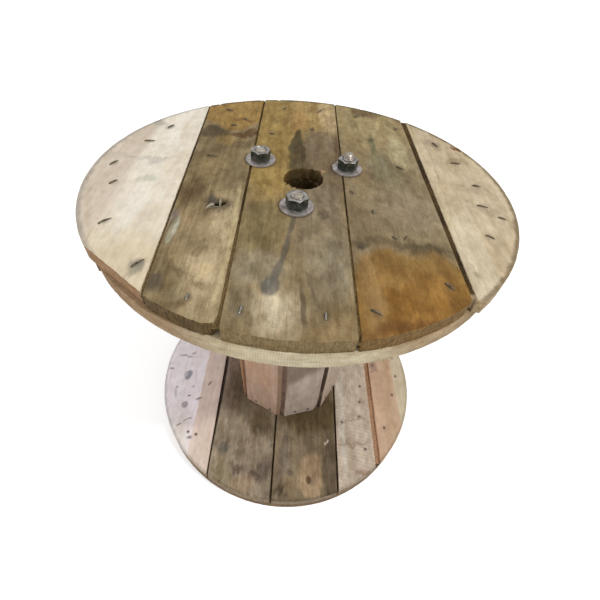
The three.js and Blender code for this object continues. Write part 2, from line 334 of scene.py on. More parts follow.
def turned(node, rings, material, smooth_degrees, sides, closed=False):
    """A steel part from rings (height, radius) about a CAD node's upright axis.

    A radius may be a function of the angle. A closed form joins its last ring to its first.
    """
    foot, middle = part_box(node)[0].z, centre(node)
    angles = np.arange(sides) * 2 * math.pi / sides
    rows = []
    for height, radius in rings:
        r = radius(angles) if callable(radius) else np.full(sides, float(radius))
        z = [foot + height] * sides
        rows.append(zip(middle.x + r * np.cos(angles), middle.y + r * np.sin(angles), z))
    ends = () if closed else [(middle.x, middle.y, foot + rings[k][0]) for k in (0, -1)]
    shape = Shape()
    made = shape.tube(rows, ends)
    if closed:
        shape.bridge(made[-1], made[0])
    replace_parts(shape.make(f"{node}_steel", material, smooth_degrees), node)


def bar(shape, path, radii, side, sides=8):
    """A round bar along a path in the plane square to side."""
    path = np.array(path, float)
    tangents = np.gradient(path, axis=0)
    tangents /= np.linalg.norm(tangents, axis=1, keepdims=True)
    normals = np.cross(np.broadcast_to(side, tangents.shape), tangents)
    turn = np.arange(sides)[:, None] * 2 * math.pi / sides
    rows = [point + radius * (np.cos(turn) * side + np.sin(turn) * normal)
            for point, normal, radius in zip(path, normals, radii)]
    shape.tube(rows, (path[0], path[-1]))


# ---- timber shapes

PIT_DEPTH = 12 * MM
PIT_STEPS = ((0, 1.0), (0.15, 0.96), (0.4, 0.9), (0.75, 0.82), (1.0, 0.74))  # depth, size
EDGE_STEP = 2.0 * MM  # between the points of a plank's outline
BORE_STEP = 1.2 * MM  # of a bore's
PIT_STEP = 0.8 * MM  # of a torn pit's
FACE_STEP = 8 * MM  # between the points across a plank's face
SLICE = 0.72  # where a plank's outline is taken, as a share of its thickness
THROUGH = 0.12  # where only the holes that go through it show
TOP_ARRIS = ((1, 0), (0.35, 0.28), (0, 1))  # inset and depth, in bevels
FOOT_ARRIS = ((0, 0.8), (0.28, 0.28), (0.8, 0))  # inset and height
TEARS = (0.3, 0.5, 0.7)  # rings where an end is torn, as shares of the thickness from the top
FACE_DIPS = ((0.22, 0.05), (0.1, 0.012))  # an upper face's: depth in millimetres, length in metres
BORE_WIDE = 0.03  # in metres; a narrower hole is a bolt's, drilled clean
DRILL_ROUGH = 0.2
HOLE_TORN = 0.4
CHIP_FROM = 0.74  # the noise above which an edge is chipped
CHIP_DEEP = 8  # millimetres for each unit above it
BEVEL_MOST = 3  # millimetres, chips included
TRIM_FROM = -0.06  # a plank is trimmed at its left from this y, in metres,
TRIM_OVER = 0.085  # and trimmed in full so much nearer the front
STAVE_STEP = 2.5 * MM
STAVE_ENDS = (0, 0.5, 1.4, 3, 6)  # rings this far from a stave's ends, in millimetres,
STAVE_EVEN = 12  # and from here on at even steps,
STAVE_ROWS = 60  # as many as this
END_ROUND = 1.4  # over which a stave's ends are rounded, in millimetres


def plank_rings(points, normals, thickness, hole, spec):
    """Insets and depths of the rings round a plank's edge or the wall of one of its holes."""
    seed = spec["seed"]
    s = arc_length(points)

    def ridges(shift, scale):
        return np.abs(noise_1d(seed + shift, s, scale))

    end = np.clip(np.abs(normals[:, AXES[spec["grain"]]]) * 1.4 - 0.4, 0, 1)
    if hole:
        rough = spec["bore_rough"] if np.ptp(points[:, 0]) > BORE_WIDE else DRILL_ROUGH
        wear = (noise_1d(seed + 40, s, 0.0026) + noise_1d(seed + 41, s, 0.009)) * rough * 0.5 * MM
        torn = HOLE_TORN
        middle = points.mean(axis=0)
        angles = np.degrees(np.arctan2(points[:, 1] - middle[1], points[:, 0] - middle[0]))
        for angle, width, deep in spec["notches"]:
            off = np.abs((angles - angle + 180) % 360 - 180)
            wear = np.where(off < width, np.maximum(wear, deep * MM * (1 - 0.5 * off / width)), wear)
    else:
        torn = spec["torn"]
        wear = ridges(0, 0.06) * spec["wane"] * MM
        wear += ridges(1, 0.007) * 0.15 * MM
        wear += ridges(2, 0.004) * torn * end * MM
    bevel = spec["bevel"] * MM * (0.75 + 0.5 * ridges(3, 0.02))
    chips = np.clip(noise_1d(seed + 4, s, 0.009) - CHIP_FROM, 0, 1) * CHIP_DEEP * MM
    bevel = np.minimum(bevel + chips * (0.3 + end), BEVEL_MOST * MM)
    rings = [(wear + bevel * a, bevel * b) for a, b in TOP_ARRIS]
    for k, share in enumerate(TEARS):
        tear = ridges(10 + k, 0.004) * end * torn * MM
        rings.append((wear + tear, 0 * s + thickness * share))
    return rings + [(wear + bevel * a, thickness - bevel * b) for a, b in FOOT_ARRIS]


def fitted(points, spec):
    """An outline whose corners are drawn in or filled out, to meet the planks beside it."""
    radius = np.linalg.norm(points, axis=1)
    share = np.clip((TRIM_FROM - points[:, 1]) / TRIM_OVER, 0, 1) * (points[:, 0] < 0)
    limit = FLANGE_R - spec["trim"] * MM * share * share * (3 - 2 * share)
    points = points * np.minimum(1, limit / radius)[:, None]
    for x, y, reach, pull in spec["filled"]:
        way = np.array([x, y]) * MM - points
        close = np.clip(1 - np.linalg.norm(way, axis=1) / (reach * MM), 0, 1)
        points = points + way * (close * pull)[:, None]
    for x, y, beyond in spec["cut"]:
        over = np.maximum(points @ (x, y) - beyond * MM, 0)
        points = points - over[:, None] * (x, y)
    return points


def pit(shape, loop, top, seed):
    """The torn wall and floor of a pit that doesn't go through; gives its rim."""
    points = resample(loop, PIT_STEP)
    middle = points.mean(axis=0)
    s = arc_length(points)
    rows = []
    for share, size in PIT_STEPS:
        jag = size * (1 + 0.16 * noise_1d(seed + int(share * 100), s, 2.4 * MM))
        xy = middle + (points - middle) * jag[:, None]
        rows.append([(x, y, top - share * PIT_DEPTH) for x, y in xy])
    return shape.tube(rows, (None, (*middle, top - PIT_DEPTH)))[0]


def plank(node, material, spec):
    """A sawn plank on the CAD node's own outline: worn edges, torn ends, uneven face."""
    spec = {**PLAIN, **spec}
    low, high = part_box(node)
    thickness = high.z - low.z
    seed = spec["seed"]
    shape = Shape()
    tops, bottoms = [], []
    loops = slice_loops(node, low.z + thickness * spec["slice"])
    through = slice_loops(node, low.z + thickness * THROUGH)[1:]
    for number, loop in enumerate(loops):
        hole = number > 0
        if hole and not any(inside(other.mean(axis=0)[None], loop)[0] for other in through):
            tops.append(pit(shape, loop, high.z, seed))
            continue
        points = resample(loop, BORE_STEP) if hole else soften(resample(loop, EDGE_STEP), 1)
        points = fitted(points, spec)
        normals = inward(points) * (-1 if hole else 1)
        rows = []
        for inset, depth in plank_rings(points, normals, thickness, hole, spec):
            xy = points + normals * inset[:, None]
            rows.append([(x, y, high.z - d) for (x, y), d in zip(xy, depth)])
        made = shape.tube(rows)
        tops.append(made[0])
        bottoms.append(made[-1])

    def height(x, y):
        dip = 0
        for k, (deep, length) in enumerate(FACE_DIPS):
            dip += deep * (noise_2d(seed + 5 + k, x, y, length) - 1)
        return float(high.z + dip * MM)

    cap(shape, tops, height, FACE_STEP)
    cap(shape, bottoms, lambda x, y: low.z, FACE_STEP * 4)
    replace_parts(shape.make(f"{node}_wood", material), node)


def stave(node, material, spec):
    """A stave on the CAD node's own section, its edges worn unevenly along its height."""
    spec = {**PLAIN, **spec}
    low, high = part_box(node)
    seed = spec["seed"]
    points = soften(resample(slice_loops(node, (low.z + high.z) / 2)[0], STAVE_STEP), 2)
    normals = inward(points)
    s = arc_length(points)
    turning = np.abs(np.cross(inward(np.roll(points, 2, axis=0)), inward(np.roll(points, -2, axis=0))))
    corner = np.clip(turning * 1.6, 0, 1)
    heights = [low.z + e * MM for e in STAVE_ENDS]
    heights += list(np.linspace(low.z + STAVE_EVEN * MM, high.z - STAVE_EVEN * MM, STAVE_ROWS))
    heights += [high.z - e * MM for e in reversed(STAVE_ENDS)]
    rows = []
    for z in heights:
        wear = 0.12 + 0.12 * noise_2d(seed, s, z, 0.05)
        wear += 0.5 * corner * np.abs(noise_2d(seed + 1, s, z, 0.022))
        close = min(z - low.z, high.z - z)
        wear += max(0, 1 - close / (END_ROUND * MM)) * (0.6 + 0.4 * noise_1d(seed + 2, s, 0.008))
        for x, y, tall, deep in spec["broken"]:
            away = np.hypot(points[:, 0] - x * MM, points[:, 1] - y * MM)
            share = max(0, 1 - (z - low.z) / (tall * MM))
            jag = 0.7 + 0.5 * noise_2d(seed + 3, s, z, 0.004)
            wear += np.clip(1 - away / (deep * 2.2 * MM), 0, 1) * share * deep * jag
        rows.append([(x, y, z) for x, y in points + normals * wear[:, None] * MM])
    middle = points.mean(axis=0)
    shape = Shape()
    shape.tube(rows, ((*middle, low.z), (*middle, high.z)))
    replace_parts(shape.make(f"{node}_wood", material), node)


# ---- nails and splinters

NAIL_R = 0.85
DECK_HEAD_R = 2.4
UNDER_HEAD_R = 3.0
STAVE_HEAD_R = 2.6
HEAD_STRAY = 4  # how far out of line a stave's nails are
NAIL_BOW_SEED = 77
NAIL_PLACE_SEED = 91
# Along a flattened tip: share of its length, rise in millimetres, share of the nail's radius.
TIP_PATH = ((-0.03, -1.5, 1), (0, 0.1, 1), (0.04, 0.8, 1), (0.14, 1.1, 1), (0.4, 1.0, 0.97),
            (0.7, 0.7, 0.85), (0.9, 0.4, 0.6), (1, 0.1, 0.28))
# A head, from its underside out: height over the face in millimetres, share of its radius.
HEAD_RINGS = ((-0.6, 0.7), (0.15, 0.96), (0.4, 1.0), (0.62, 0.9), (0.7, 0.6))
HEAD_SIDES = 14


def clenched_tip(shape, x, y, degrees, length, z, number):
    """A nail's point that came through the face and was hammered flat; x, y in millimetres."""
    turn = math.radians(degrees)
    way = np.array([math.cos(turn), math.sin(turn)])
    side = np.array([-way[1], way[0], 0])
    bow = 0.9 * noise_1d(NAIL_BOW_SEED, number, 0.37)
    path, radii = [], []
    for share, rise, radius in TIP_PATH:
        offset = way * (share - 0.5) * length + side[:2] * bow * math.sin(math.pi * share)
        path.append(((x + offset[0]) * MM, (y + offset[1]) * MM, z + rise * MM))
        radii.append(radius * NAIL_R * MM)
    bar(shape, path, radii, side)


def nail_head(shape, place, out, radius):
    """A flat nail head standing a little proud of a face, out being the face's normal."""
    out = Vector(out).normalized()
    side = out.orthogonal().normalized()
    other = out.cross(side)
    turns = [2 * math.pi * k / HEAD_SIDES for k in range(HEAD_SIDES)]
    rows = []
    for rise, share in HEAD_RINGS:
        reach = share * radius * MM
        rows.append([place + out * rise * MM + (side * math.cos(a) + other * math.sin(a)) * reach
                     for a in turns])
    shape.tube(rows, [place + out * HEAD_RINGS[k][0] * MM for k in (0, -1)])


def splinter(shape, start, end, width, rise):
    """A torn sliver of wood from one point to another, thick at its root; in millimetres."""
    start, end = np.array([*start, 0.0]), np.array([*end, 0.0])
    way = (end - start) / np.linalg.norm(end - start)
    side = np.array([-way[1], way[0], 0])
    base = np.array([0, 0, TOP_Z])
    path = [base + (start + (end - start) * t + (0, 0, h)) * MM
            for t, h in ((0, -0.9), (0.25, -0.2 + rise * 0.4), (0.6, -0.2 + rise), (1, rise - 0.5))]
    bar(shape, path, [width * MM * k for k in (0.55, 0.5, 0.34, 0.06)], side, sides=6)


# ---- dirt packed in the seams

OPEN_JOINT = 1  # the joint with no dirt in it, between staves 2 and 3
# In millimetres.
JOINT_SUNK = 4.5  # how far the dirt between staves lies below their faces
JOINT_STEP = 4  # between its rings
SEAM_STEP = 2  # between those of the dirt between planks
SEAM_START = 1.2  # how far inside the rim that begins
SEAM_LAP = 1.2  # how far it runs into the planks
SEAM_WIDEST = 16  # the widest seam that it fills in the far half
SEAM_SEED = 401
JOINT_SEED = 431


def crossings(loop, y):
    """Where an outline crosses a line of constant y."""
    a, b = loop, np.roll(loop, -1, axis=0)
    over = (a[:, 1] > y) != (b[:, 1] > y)
    a, b = a[over], b[over]
    return a[:, 0] + (b[:, 0] - a[:, 0]) * (y - a[:, 1]) / (b[:, 1] - a[:, 1])


def packed_dirt(shape, left, right, number, sunk=1.3, dip=3, widest=9, thick=3):
    """A crumbling strip between two planks, in millimetres.

    It lies sunk below their faces, drops by dip more at its near end, is thick from top to
    bottom, and is left out where the near half of the seam is wider than widest.
    """
    low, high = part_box(left)
    outlines = [slice_loops(node, low.z + (high.z - low.z) * SLICE)[0] for node in (left, right)]
    first = max(outline[:, 1].min() for outline in outlines) + SEAM_START * MM
    corner = min(outline[:, 1].max() for outline in outlines) - 3 * MM
    last = corner + 6 * MM
    rows = []
    for y in np.arange(first, last, SEAM_STEP * MM):
        if y < corner:
            a = crossings(outlines[0], y).max() - SEAM_LAP * MM
            b = crossings(outlines[1], y).min() + SEAM_LAP * MM
        if b - a > (widest if y < 0 else SEAM_WIDEST) * MM:
            continue
        low_end = dip * max(0, 1 - (y - first) / (7 * MM))
        sink = [sunk + low_end + 0.8 * noise_1d(SEAM_SEED + 7 * number + k, y, 0.004) for k in range(3)]
        top = [(a, -sink[0]), ((a + b) / 2, -sink[1] - 0.5), (b, -sink[2])]
        under = [(x, drop - thick) for x, drop in reversed(top)]
        ring = []
        for x, drop in top + under:
            share = min(1, (FLANGE_R - 0.8 * MM) / math.hypot(x, y))
            ring.append((x * share, y * share, high.z + drop * MM))
        rows.append(ring)
    shape.tube(rows, [np.mean(rows[k], axis=0) for k in (0, -1)])


def packed_joint(shape, left, right, number):
    """A crumbling strip between two staves, well below their faces."""
    low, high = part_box(left)
    a, b = [slice_loops(node, (low.z + high.z) / 2)[0] for node in (left, right)]
    apart = np.linalg.norm(a[:, None] - b[None], axis=2)
    i, j = np.unravel_index(apart.argmin(), apart.shape)
    root = (a[i] + b[j]) / 2
    out = root / np.linalg.norm(root)
    side = np.array([-out[1], out[0]])
    rows = []
    for z in np.arange(low.z + MM, high.z - MM, JOINT_STEP * MM):
        face = STAVE_T - JOINT_SUNK + 0.9 * noise_1d(JOINT_SEED + number, z, 0.01)
        wide = 1.8 + 2.3 * face / STAVE_T
        corners = ((0.2, -1.7), (0.2, 1.7), (face, wide), (face - 0.6, 0), (face, -wide))
        rows.append([(*(root + (out * r + side * across) * MM), z) for r, across in corners])
    shape.tube(rows, [np.mean(rows[k], axis=0) for k in (0, -1)])


# ---- ironmongery

# In millimetres, from the axis out and from the foot up.
NUT_FLAT = 11.2
NUT_CORNER = NUT_FLAT / math.cos(math.pi / 6)
NUT_TALL = 12.0
NUT_BORE = 6.85
NUT_MOUTH = NUT_BORE + 1.3  # where the bore is countersunk
NUT_TURNS = (-116, -100, -76)  # each nut's front corner, in degrees
WASHER_BORE = 8.9
WASHER_EDGE = 0.45
BOLT_HEAD_TALL = 8
# A bolt's domed head, from its crown: height, and share of its radius.
BOLT_DOME = ((0, 0.3), (0.35, 0.55), (1.3, 0.78), (2.9, 0.93), (4.6, 0.985), (7.4, 1))
NECK_HALF = 8  # from the axis to a side of the square neck
NECK_CORNER = 10.4
NECK_END = 15.4
SHANK_R = 7.95
THREAD_R = 6.7
THREAD_DEEP = 0.95
THREAD_PITCH = 2.0
THREAD_ROWS = 8  # to a turn
THREAD_LEAD = 0.5  # how far below its nut a thread starts
THREAD_STOP = 1.9  # how far below a bolt's end it stops
THREAD_END = ((1.5, 4.9), (0.7, 4.3), (0.2, 3.2), (0, 1.6))  # depth below the end, and radius
TIP_TAPER = 1.5  # how much thinner a bolt's tip is
TIP_SHORT = (0, 1.8, 2.2)  # how much shorter each bolt stands than its CAD node


def hexagon(turn, limit):
    """A nut's radius, in metres, at each angle, held inside a circle."""
    def radius(angles):
        off = (angles - turn + math.pi / 6) % (math.pi / 3) - math.pi / 6
        side = NUT_FLAT / np.cos(math.pi / 6 - np.abs(off))
        return np.minimum(side, limit) * MM
    return radius


def nut(node, turn, material):
    rings = [(0, hexagon(turn, NUT_FLAT * 0.97)), (0.5 * MM, hexagon(turn, NUT_CORNER * 0.985))]
    crown = NUT_CORNER * 0.84  # radius of the round face on top
    for share in (1, 0.953, 0.91, 0.873, 0.84):
        fall = (NUT_CORNER * share - crown) * math.tan(math.pi / 6)
        rings.append(((NUT_TALL - fall) * MM, hexagon(turn, NUT_CORNER * share)))
    for tall, radius in ((NUT_TALL, NUT_MOUTH), (NUT_TALL - 1.2, NUT_BORE), (1.1, NUT_BORE),
                         (0, NUT_MOUTH)):
        rings.append((tall * MM, radius * MM))
    turned(node, rings, material, smooth_degrees=24, sides=72, closed=True)


def washer(node, material):
    low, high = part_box(node)
    tall = high.z - low.z
    outer, inner = (high.x - low.x) / 2, WASHER_BORE * MM
    edge = WASHER_EDGE * MM

    def worn(r):
        return lambda angles: r - 0.12 * MM * (1 + np.sin(angles * 3 + low.x * 900))

    rings = [(0, worn(outer - edge)), (edge, worn(outer)), (tall - edge * 1.4, worn(outer)),
             (tall - edge * 0.4, worn(outer - edge * 0.5)), (tall, worn(outer - edge * 1.8)),
             (tall - 0.15 * MM, inner + 3 * MM), (tall, inner + edge), (tall - edge, inner), (0, inner)]
    turned(node, rings, material, smooth_degrees=30, sides=64, closed=True)


def neck(angles):
    """The square neck's radius, in metres, at each angle, its corners cut off."""
    side = NECK_HALF / np.maximum(np.abs(np.cos(angles)), np.abs(np.sin(angles)))
    return np.minimum(side, NECK_CORNER) * MM


def thread(rise, thin):
    """The thread's radius, in metres, at each angle at this height, made thinner by thin."""
    def radius(angles):
        phase = (rise / (THREAD_PITCH * MM) - angles / (2 * math.pi)) % 1
        return (THREAD_R - thin - THREAD_DEEP * np.abs(2 * phase - 1)) * MM
    return radius


def tie_bolt(node, nut_node, short, material):
    """Domed head, square neck, plain shank, and the thread that shows round and above the nut."""
    low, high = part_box(node)
    tall = high.z - low.z - short * MM
    head = (high.x - low.x) / 2
    rings = [(rise * MM, head * share) for rise, share in BOLT_DOME]
    rings += [(BOLT_HEAD_TALL * MM, head - 0.4 * MM), (BOLT_HEAD_TALL * MM, neck), (NECK_END * MM, neck),
              ((NECK_END + 1) * MM, SHANK_R * MM)]
    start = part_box(nut_node)[0].z - low.z - THREAD_LEAD * MM
    rings += [(start - 0.5 * MM, SHANK_R * MM), (start, (THREAD_R - 1) * MM)]
    stop = tall - THREAD_STOP * MM
    face = start + (NUT_TALL + THREAD_LEAD) * MM
    count = int(round((stop - start) / (THREAD_PITCH * MM) * THREAD_ROWS))
    for k in range(1, count + 1):
        rise = (stop - start) * k / count
        thin = TIP_TAPER * max(0, (start + rise - face) / (tall - face))
        rings.append((start + rise, thread(rise, thin)))
    rings += [(tall - drop * MM, radius * MM) for drop, radius in THREAD_END]
    turned(node, rings, material, smooth_degrees=32, sides=48)


# ---- material graphs

def linear(colour):
    """A colour from its 0..255 screen values."""
    values = [c / 255 for c in colour]
    return tuple(c / 12.92 if c <= 0.04045 else ((c + 0.055) / 1.055) ** 2.4 for c in values)


class Graph:
    """Short names for the shader nodes that the materials use."""

    def __init__(self, name, owner=None):
        self.material = owner or bpy.data.materials.new(name)
        self.material.use_nodes = True
        self.tree = self.material.node_tree
        self.shader = self.tree.nodes.get("Principled BSDF")

    def link(self, value, socket):
        if isinstance(value, bpy.types.NodeSocket):
            self.tree.links.new(value, socket)
        else:
            socket.default_value = value

    def feed(self, values):
        """Values or sockets by the names of the shader's inputs; gives the material."""
        for name, value in values.items():
            self.link(value, self.shader.inputs[name])
        return self.material

    def node(self, kind, values=(), **settings):
        """A node with these settings, and values or sockets on its inputs, by place or by name."""
        node = self.tree.nodes.new(f"ShaderNode{kind}")
        for name, value in settings.items():
            setattr(node, name, value)
        for key, value in values.items() if isinstance(values, dict) else enumerate(values):
            self.link(value, node.inputs[key])
        return node

    def math(self, operation, *values):
        return self.node("Math", values, operation=operation).outputs[0]

    def plus(self, a, b):
        return self.math("ADD", a, b)

    def minus(self, a, b):
        return self.math("SUBTRACT", a, b)

    def times(self, a, b):
        return self.math("MULTIPLY", a, b)

    def vector(self, operation, *values):
        outputs = self.node("VectorMath", values, operation=operation).outputs
        return outputs["Value" if operation == "LENGTH" else "Vector"]

    def split(self, vector):
        return self.node("SeparateXYZ", [vector]).outputs

    def join(self, x, y, z):
        return self.node("CombineXYZ", [x, y, z]).outputs[0]

    def place(self):
        """Where the surface is in the drum, in millimetres."""
        return self.vector("MULTIPLY", self.node("TexCoord").outputs["Object"], (1000, 1000, 1000))

    def normal(self):
        """The three parts of the face's own normal."""
        return self.split(self.node("NewGeometry").outputs["Normal"])

    def noise(self, vector, detail=2.0, roughness=0.5, output="Fac"):
        values = {"Vector": vector, "Scale": 1, "Detail": detail, "Roughness": roughness}
        return self.node("TexNoise", values).outputs[output]

    def stretched(self, vector, stretch, detail=2.0, roughness=0.5, output="Fac"):
        return self.noise(self.vector("MULTIPLY", vector, stretch), detail, roughness, output)

    def span(self, value, low, high, to_low=0.0, to_high=1.0):
        """A value in low..high moved to to_low..to_high and held there."""
        values = {"Value": value, "From Min": low, "From Max": high, "To Min": to_low, "To Max": to_high}
        return self.node("MapRange", values, interpolation_type="SMOOTHSTEP").outputs["Result"]

    def mix(self, share, a, b):
        node = self.node("Mix", [share], data_type="RGBA")
        sockets = [s for s in node.inputs if s.type == "RGBA"]
        for value, socket in zip((a, b), sockets):
            self.link((*value, 1) if isinstance(value, tuple) else value, socket)
        return [s for s in node.outputs if s.type == "RGBA"][0]

    def shaded(self, colour, share, factor):
        """A colour multiplied by a factor for each channel, as far as share says."""
        return self.vector("MULTIPLY", colour, self.mix(share, (1.0, 1.0, 1.0), factor))

    def ellipse(self, place, x, y, rx, ry, degrees):
        """Distance from an ellipse's centre, 1 being its outline."""
        values = {"Vector": place, "Location": (x, y, 0), "Rotation": (0, 0, math.radians(degrees)),
                  "Scale": (rx, ry, 1e6)}
        return self.vector("LENGTH", self.node("Mapping", values, vector_type="TEXTURE").outputs[0])

    def bump(self, height, distance):
        values = {"Strength": 1, "Distance": distance, "Height": height}
        return self.node("Bump", values).outputs["Normal"]

    def looked_at(self):
        """1 for rays from the camera, from mirrors and through glass."""
        outputs = self.node("LightPath").outputs
        both = self.math("MAXIMUM", outputs["Is Camera Ray"], outputs["Is Glossy Ray"])
        return self.math("MAXIMUM", both, outputs["Is Transmission Ray"])


def add_stage():
    """A white floor that keeps the drum's shadow, a white room and two soft lamps."""
    mesh = bpy.data.meshes.new("floor")
    reach = 6
    below = -0.3 * MM
    corners = ((-reach, -reach), (reach, -reach), (reach, reach), (-reach, reach))
    mesh.from_pydata([(x, y, below) for x, y in corners], [], [(0, 1, 2, 3)])
    floor = placed("floor", mesh)
    g = Graph("floor")
    mesh.materials.append(g.feed({
        "Base Color": (0.86, 0.86, 0.86, 1),
        "Roughness": 0.9,
        "Emission Color": (1, 1, 1, 1),
        "Emission Strength": g.times(g.looked_at(), FLOOR_GLOW),
    }))

    world = bpy.data.worlds.new("studio")
    g = Graph("studio", world)
    background = g.tree.nodes["Background"]
    background.inputs["Color"].default_value = (1, 1, 1, 1)
    g.link(g.span(g.looked_at(), 0, 1, SKY, 1), background.inputs["Strength"])
    bpy.context.scene.world = world
    area_light("key", place=(0.98, -0.63, 1.95), target=(0, 0, 0.3), size=0.14, watts=17.5)
    area_light("fill", place=(-1.8, -1.2, 0.75), target=(0, 0, 0.1), size=1.6, watts=13)


# ---- wood, dirt and metal

STAIN_BLUR = 0.45
NAIL_HALO = (84, 78, 70)
KNOT = (92, 66, 42)
# In millimetres.
SEED_APART = 37.0  # from the noise of one seed to that of the next
STAIN_WANDER = (26, 70)  # how far a stain's outline strays across and along the grain
BAND_WANDER = 7  # how far a band's edge strays
RING_WANDER = 9  # how far growth rings stray
KNOT_PUSH = 26  # how far a knot pushes them aside
RIM_DIRT_END = round(FLANGE_R / MM) + 0.5  # the radius where a rim's dirt is full
BORE_SHADE = (34, 30)  # radii where painted shade on a bore's wall begins and is full
PIT_SHADE = (0.7, 2)  # depths where painted shade in a torn pit begins and is full


def stained(g, tint, place, spec):
    """The wood's tint with its stains, which wander along the grain, and its sharper marks; a few of the
    stains are painted shade.
    """
    flat = spec["grain"] == "x"
    stretch = (0.011, 0.032, 0.02) if flat else (0.032, 0.011, 0.02)
    reach = (*STAIN_WANDER[::-1], 0) if flat else (*STAIN_WANDER, 0)
    drift = g.vector("SUBTRACT", g.stretched(place, stretch, 5, 0.66, "Color"), (0.5, 0.5, 0.5))
    for key, wander in (("stains", 1), ("marks", 0.15)):
        if not spec[key]:
            continue
        moved = g.vector("ADD", place, g.vector("MULTIPLY", drift, [r * wander for r in reach]))
        for x, y, rx, ry, degrees, colour, strength, *blur in spec[key]:
            edge = blur[0] if blur else STAIN_BLUR
            distance = g.ellipse(moved, x, y, rx, ry, degrees)
            tint = g.mix(g.span(distance, 1 - edge, 1 + edge, strength, 0), tint, linear(colour))
    return tint


def banded(g, tint, across, wander, spec):
    """Heartwood and sapwood: bands of another colour that run straight along the grain; on the staves, dark
    bands beside the joints are painted shade.
    """
    moved = g.plus(across, g.times(g.minus(wander, 0.5), BAND_WANDER))
    edge = spec["band_edge"]
    for low, high, colour, strength in spec["bands"]:
        share = g.times(g.span(moved, low - edge, low + edge), g.span(moved, high + edge, high - edge))
        tint = g.mix(g.times(share, strength), tint, linear(colour))
    return tint


def growth_rings(g, across, deep, wavy, local, place, spec):
    """Arcs about the pith, drawn out along the board and pushed aside by knots.

    Gives the share of dark late wood and the share of knot.
    """
    side = g.minus(across, spec["pith"])
    lower = g.minus(deep, spec["pith_z"])
    ring = g.math("SQRT", g.plus(g.times(side, side), g.times(lower, lower)))
    lazy = g.stretched(local, (0.012, 0.0024, 0.012))
    ring = g.plus(ring, g.times(lazy, spec["cathedral"]))
    ring = g.plus(ring, g.times(wavy, RING_WANDER))
    knot = 0.0
    for x, y, radius in spec["knots"]:
        distance = g.ellipse(place, x, y, radius, radius * 1.6, 0)
        ring = g.plus(ring, g.span(distance, 0, 3.4, KNOT_PUSH, 0))
        knot = g.math("MAXIMUM", knot, g.span(distance, 0.6, 1.1, 1, 0))
    tooth = g.math("FRACT", g.math("DIVIDE", ring, spec["ring"]))
    return g.times(g.math("POWER", tooth, 2.2), g.span(tooth, 0.9, 1.0, 1, 0)), knot


def saw_marks(g, along, across, local, spec):
    """Bowed lines across the board, fading in and out."""
    bowed = g.plus(along, g.times(g.times(across, across), 0.0006))
    bowed = g.plus(bowed, g.times(across, spec["saw_skew"]))
    lines = g.math("SINE", g.times(bowed, 2 * math.pi / spec["saw_pitch"]))
    uneven = g.noise(g.join(g.times(bowed, 0.21), 0, spec["seed"] * 1.7))
    shown = g.span(g.stretched(local, (0.018, 0.014, 0.018)), 0.42, 0.62, 0, spec["saw"])
    return g.times(g.times(lines, uneven), shown)


def spotted(g, tint, place, speck, knot, spec):
    """The tint with the dark halos of nails and with its knots."""
    uneven = g.times(g.minus(speck, 0.5), 1.3)
    for x, y, radius in spec["spots"]:
        distance = g.plus(g.ellipse(place, x, y, radius, radius * 1.25, 0), uneven)
        tint = g.mix(g.span(distance, 0.2, 1.25, spec["halo"], 0), tint, linear(NAIL_HALO))
    return g.mix(g.times(knot, 0.75), tint, linear(KNOT))


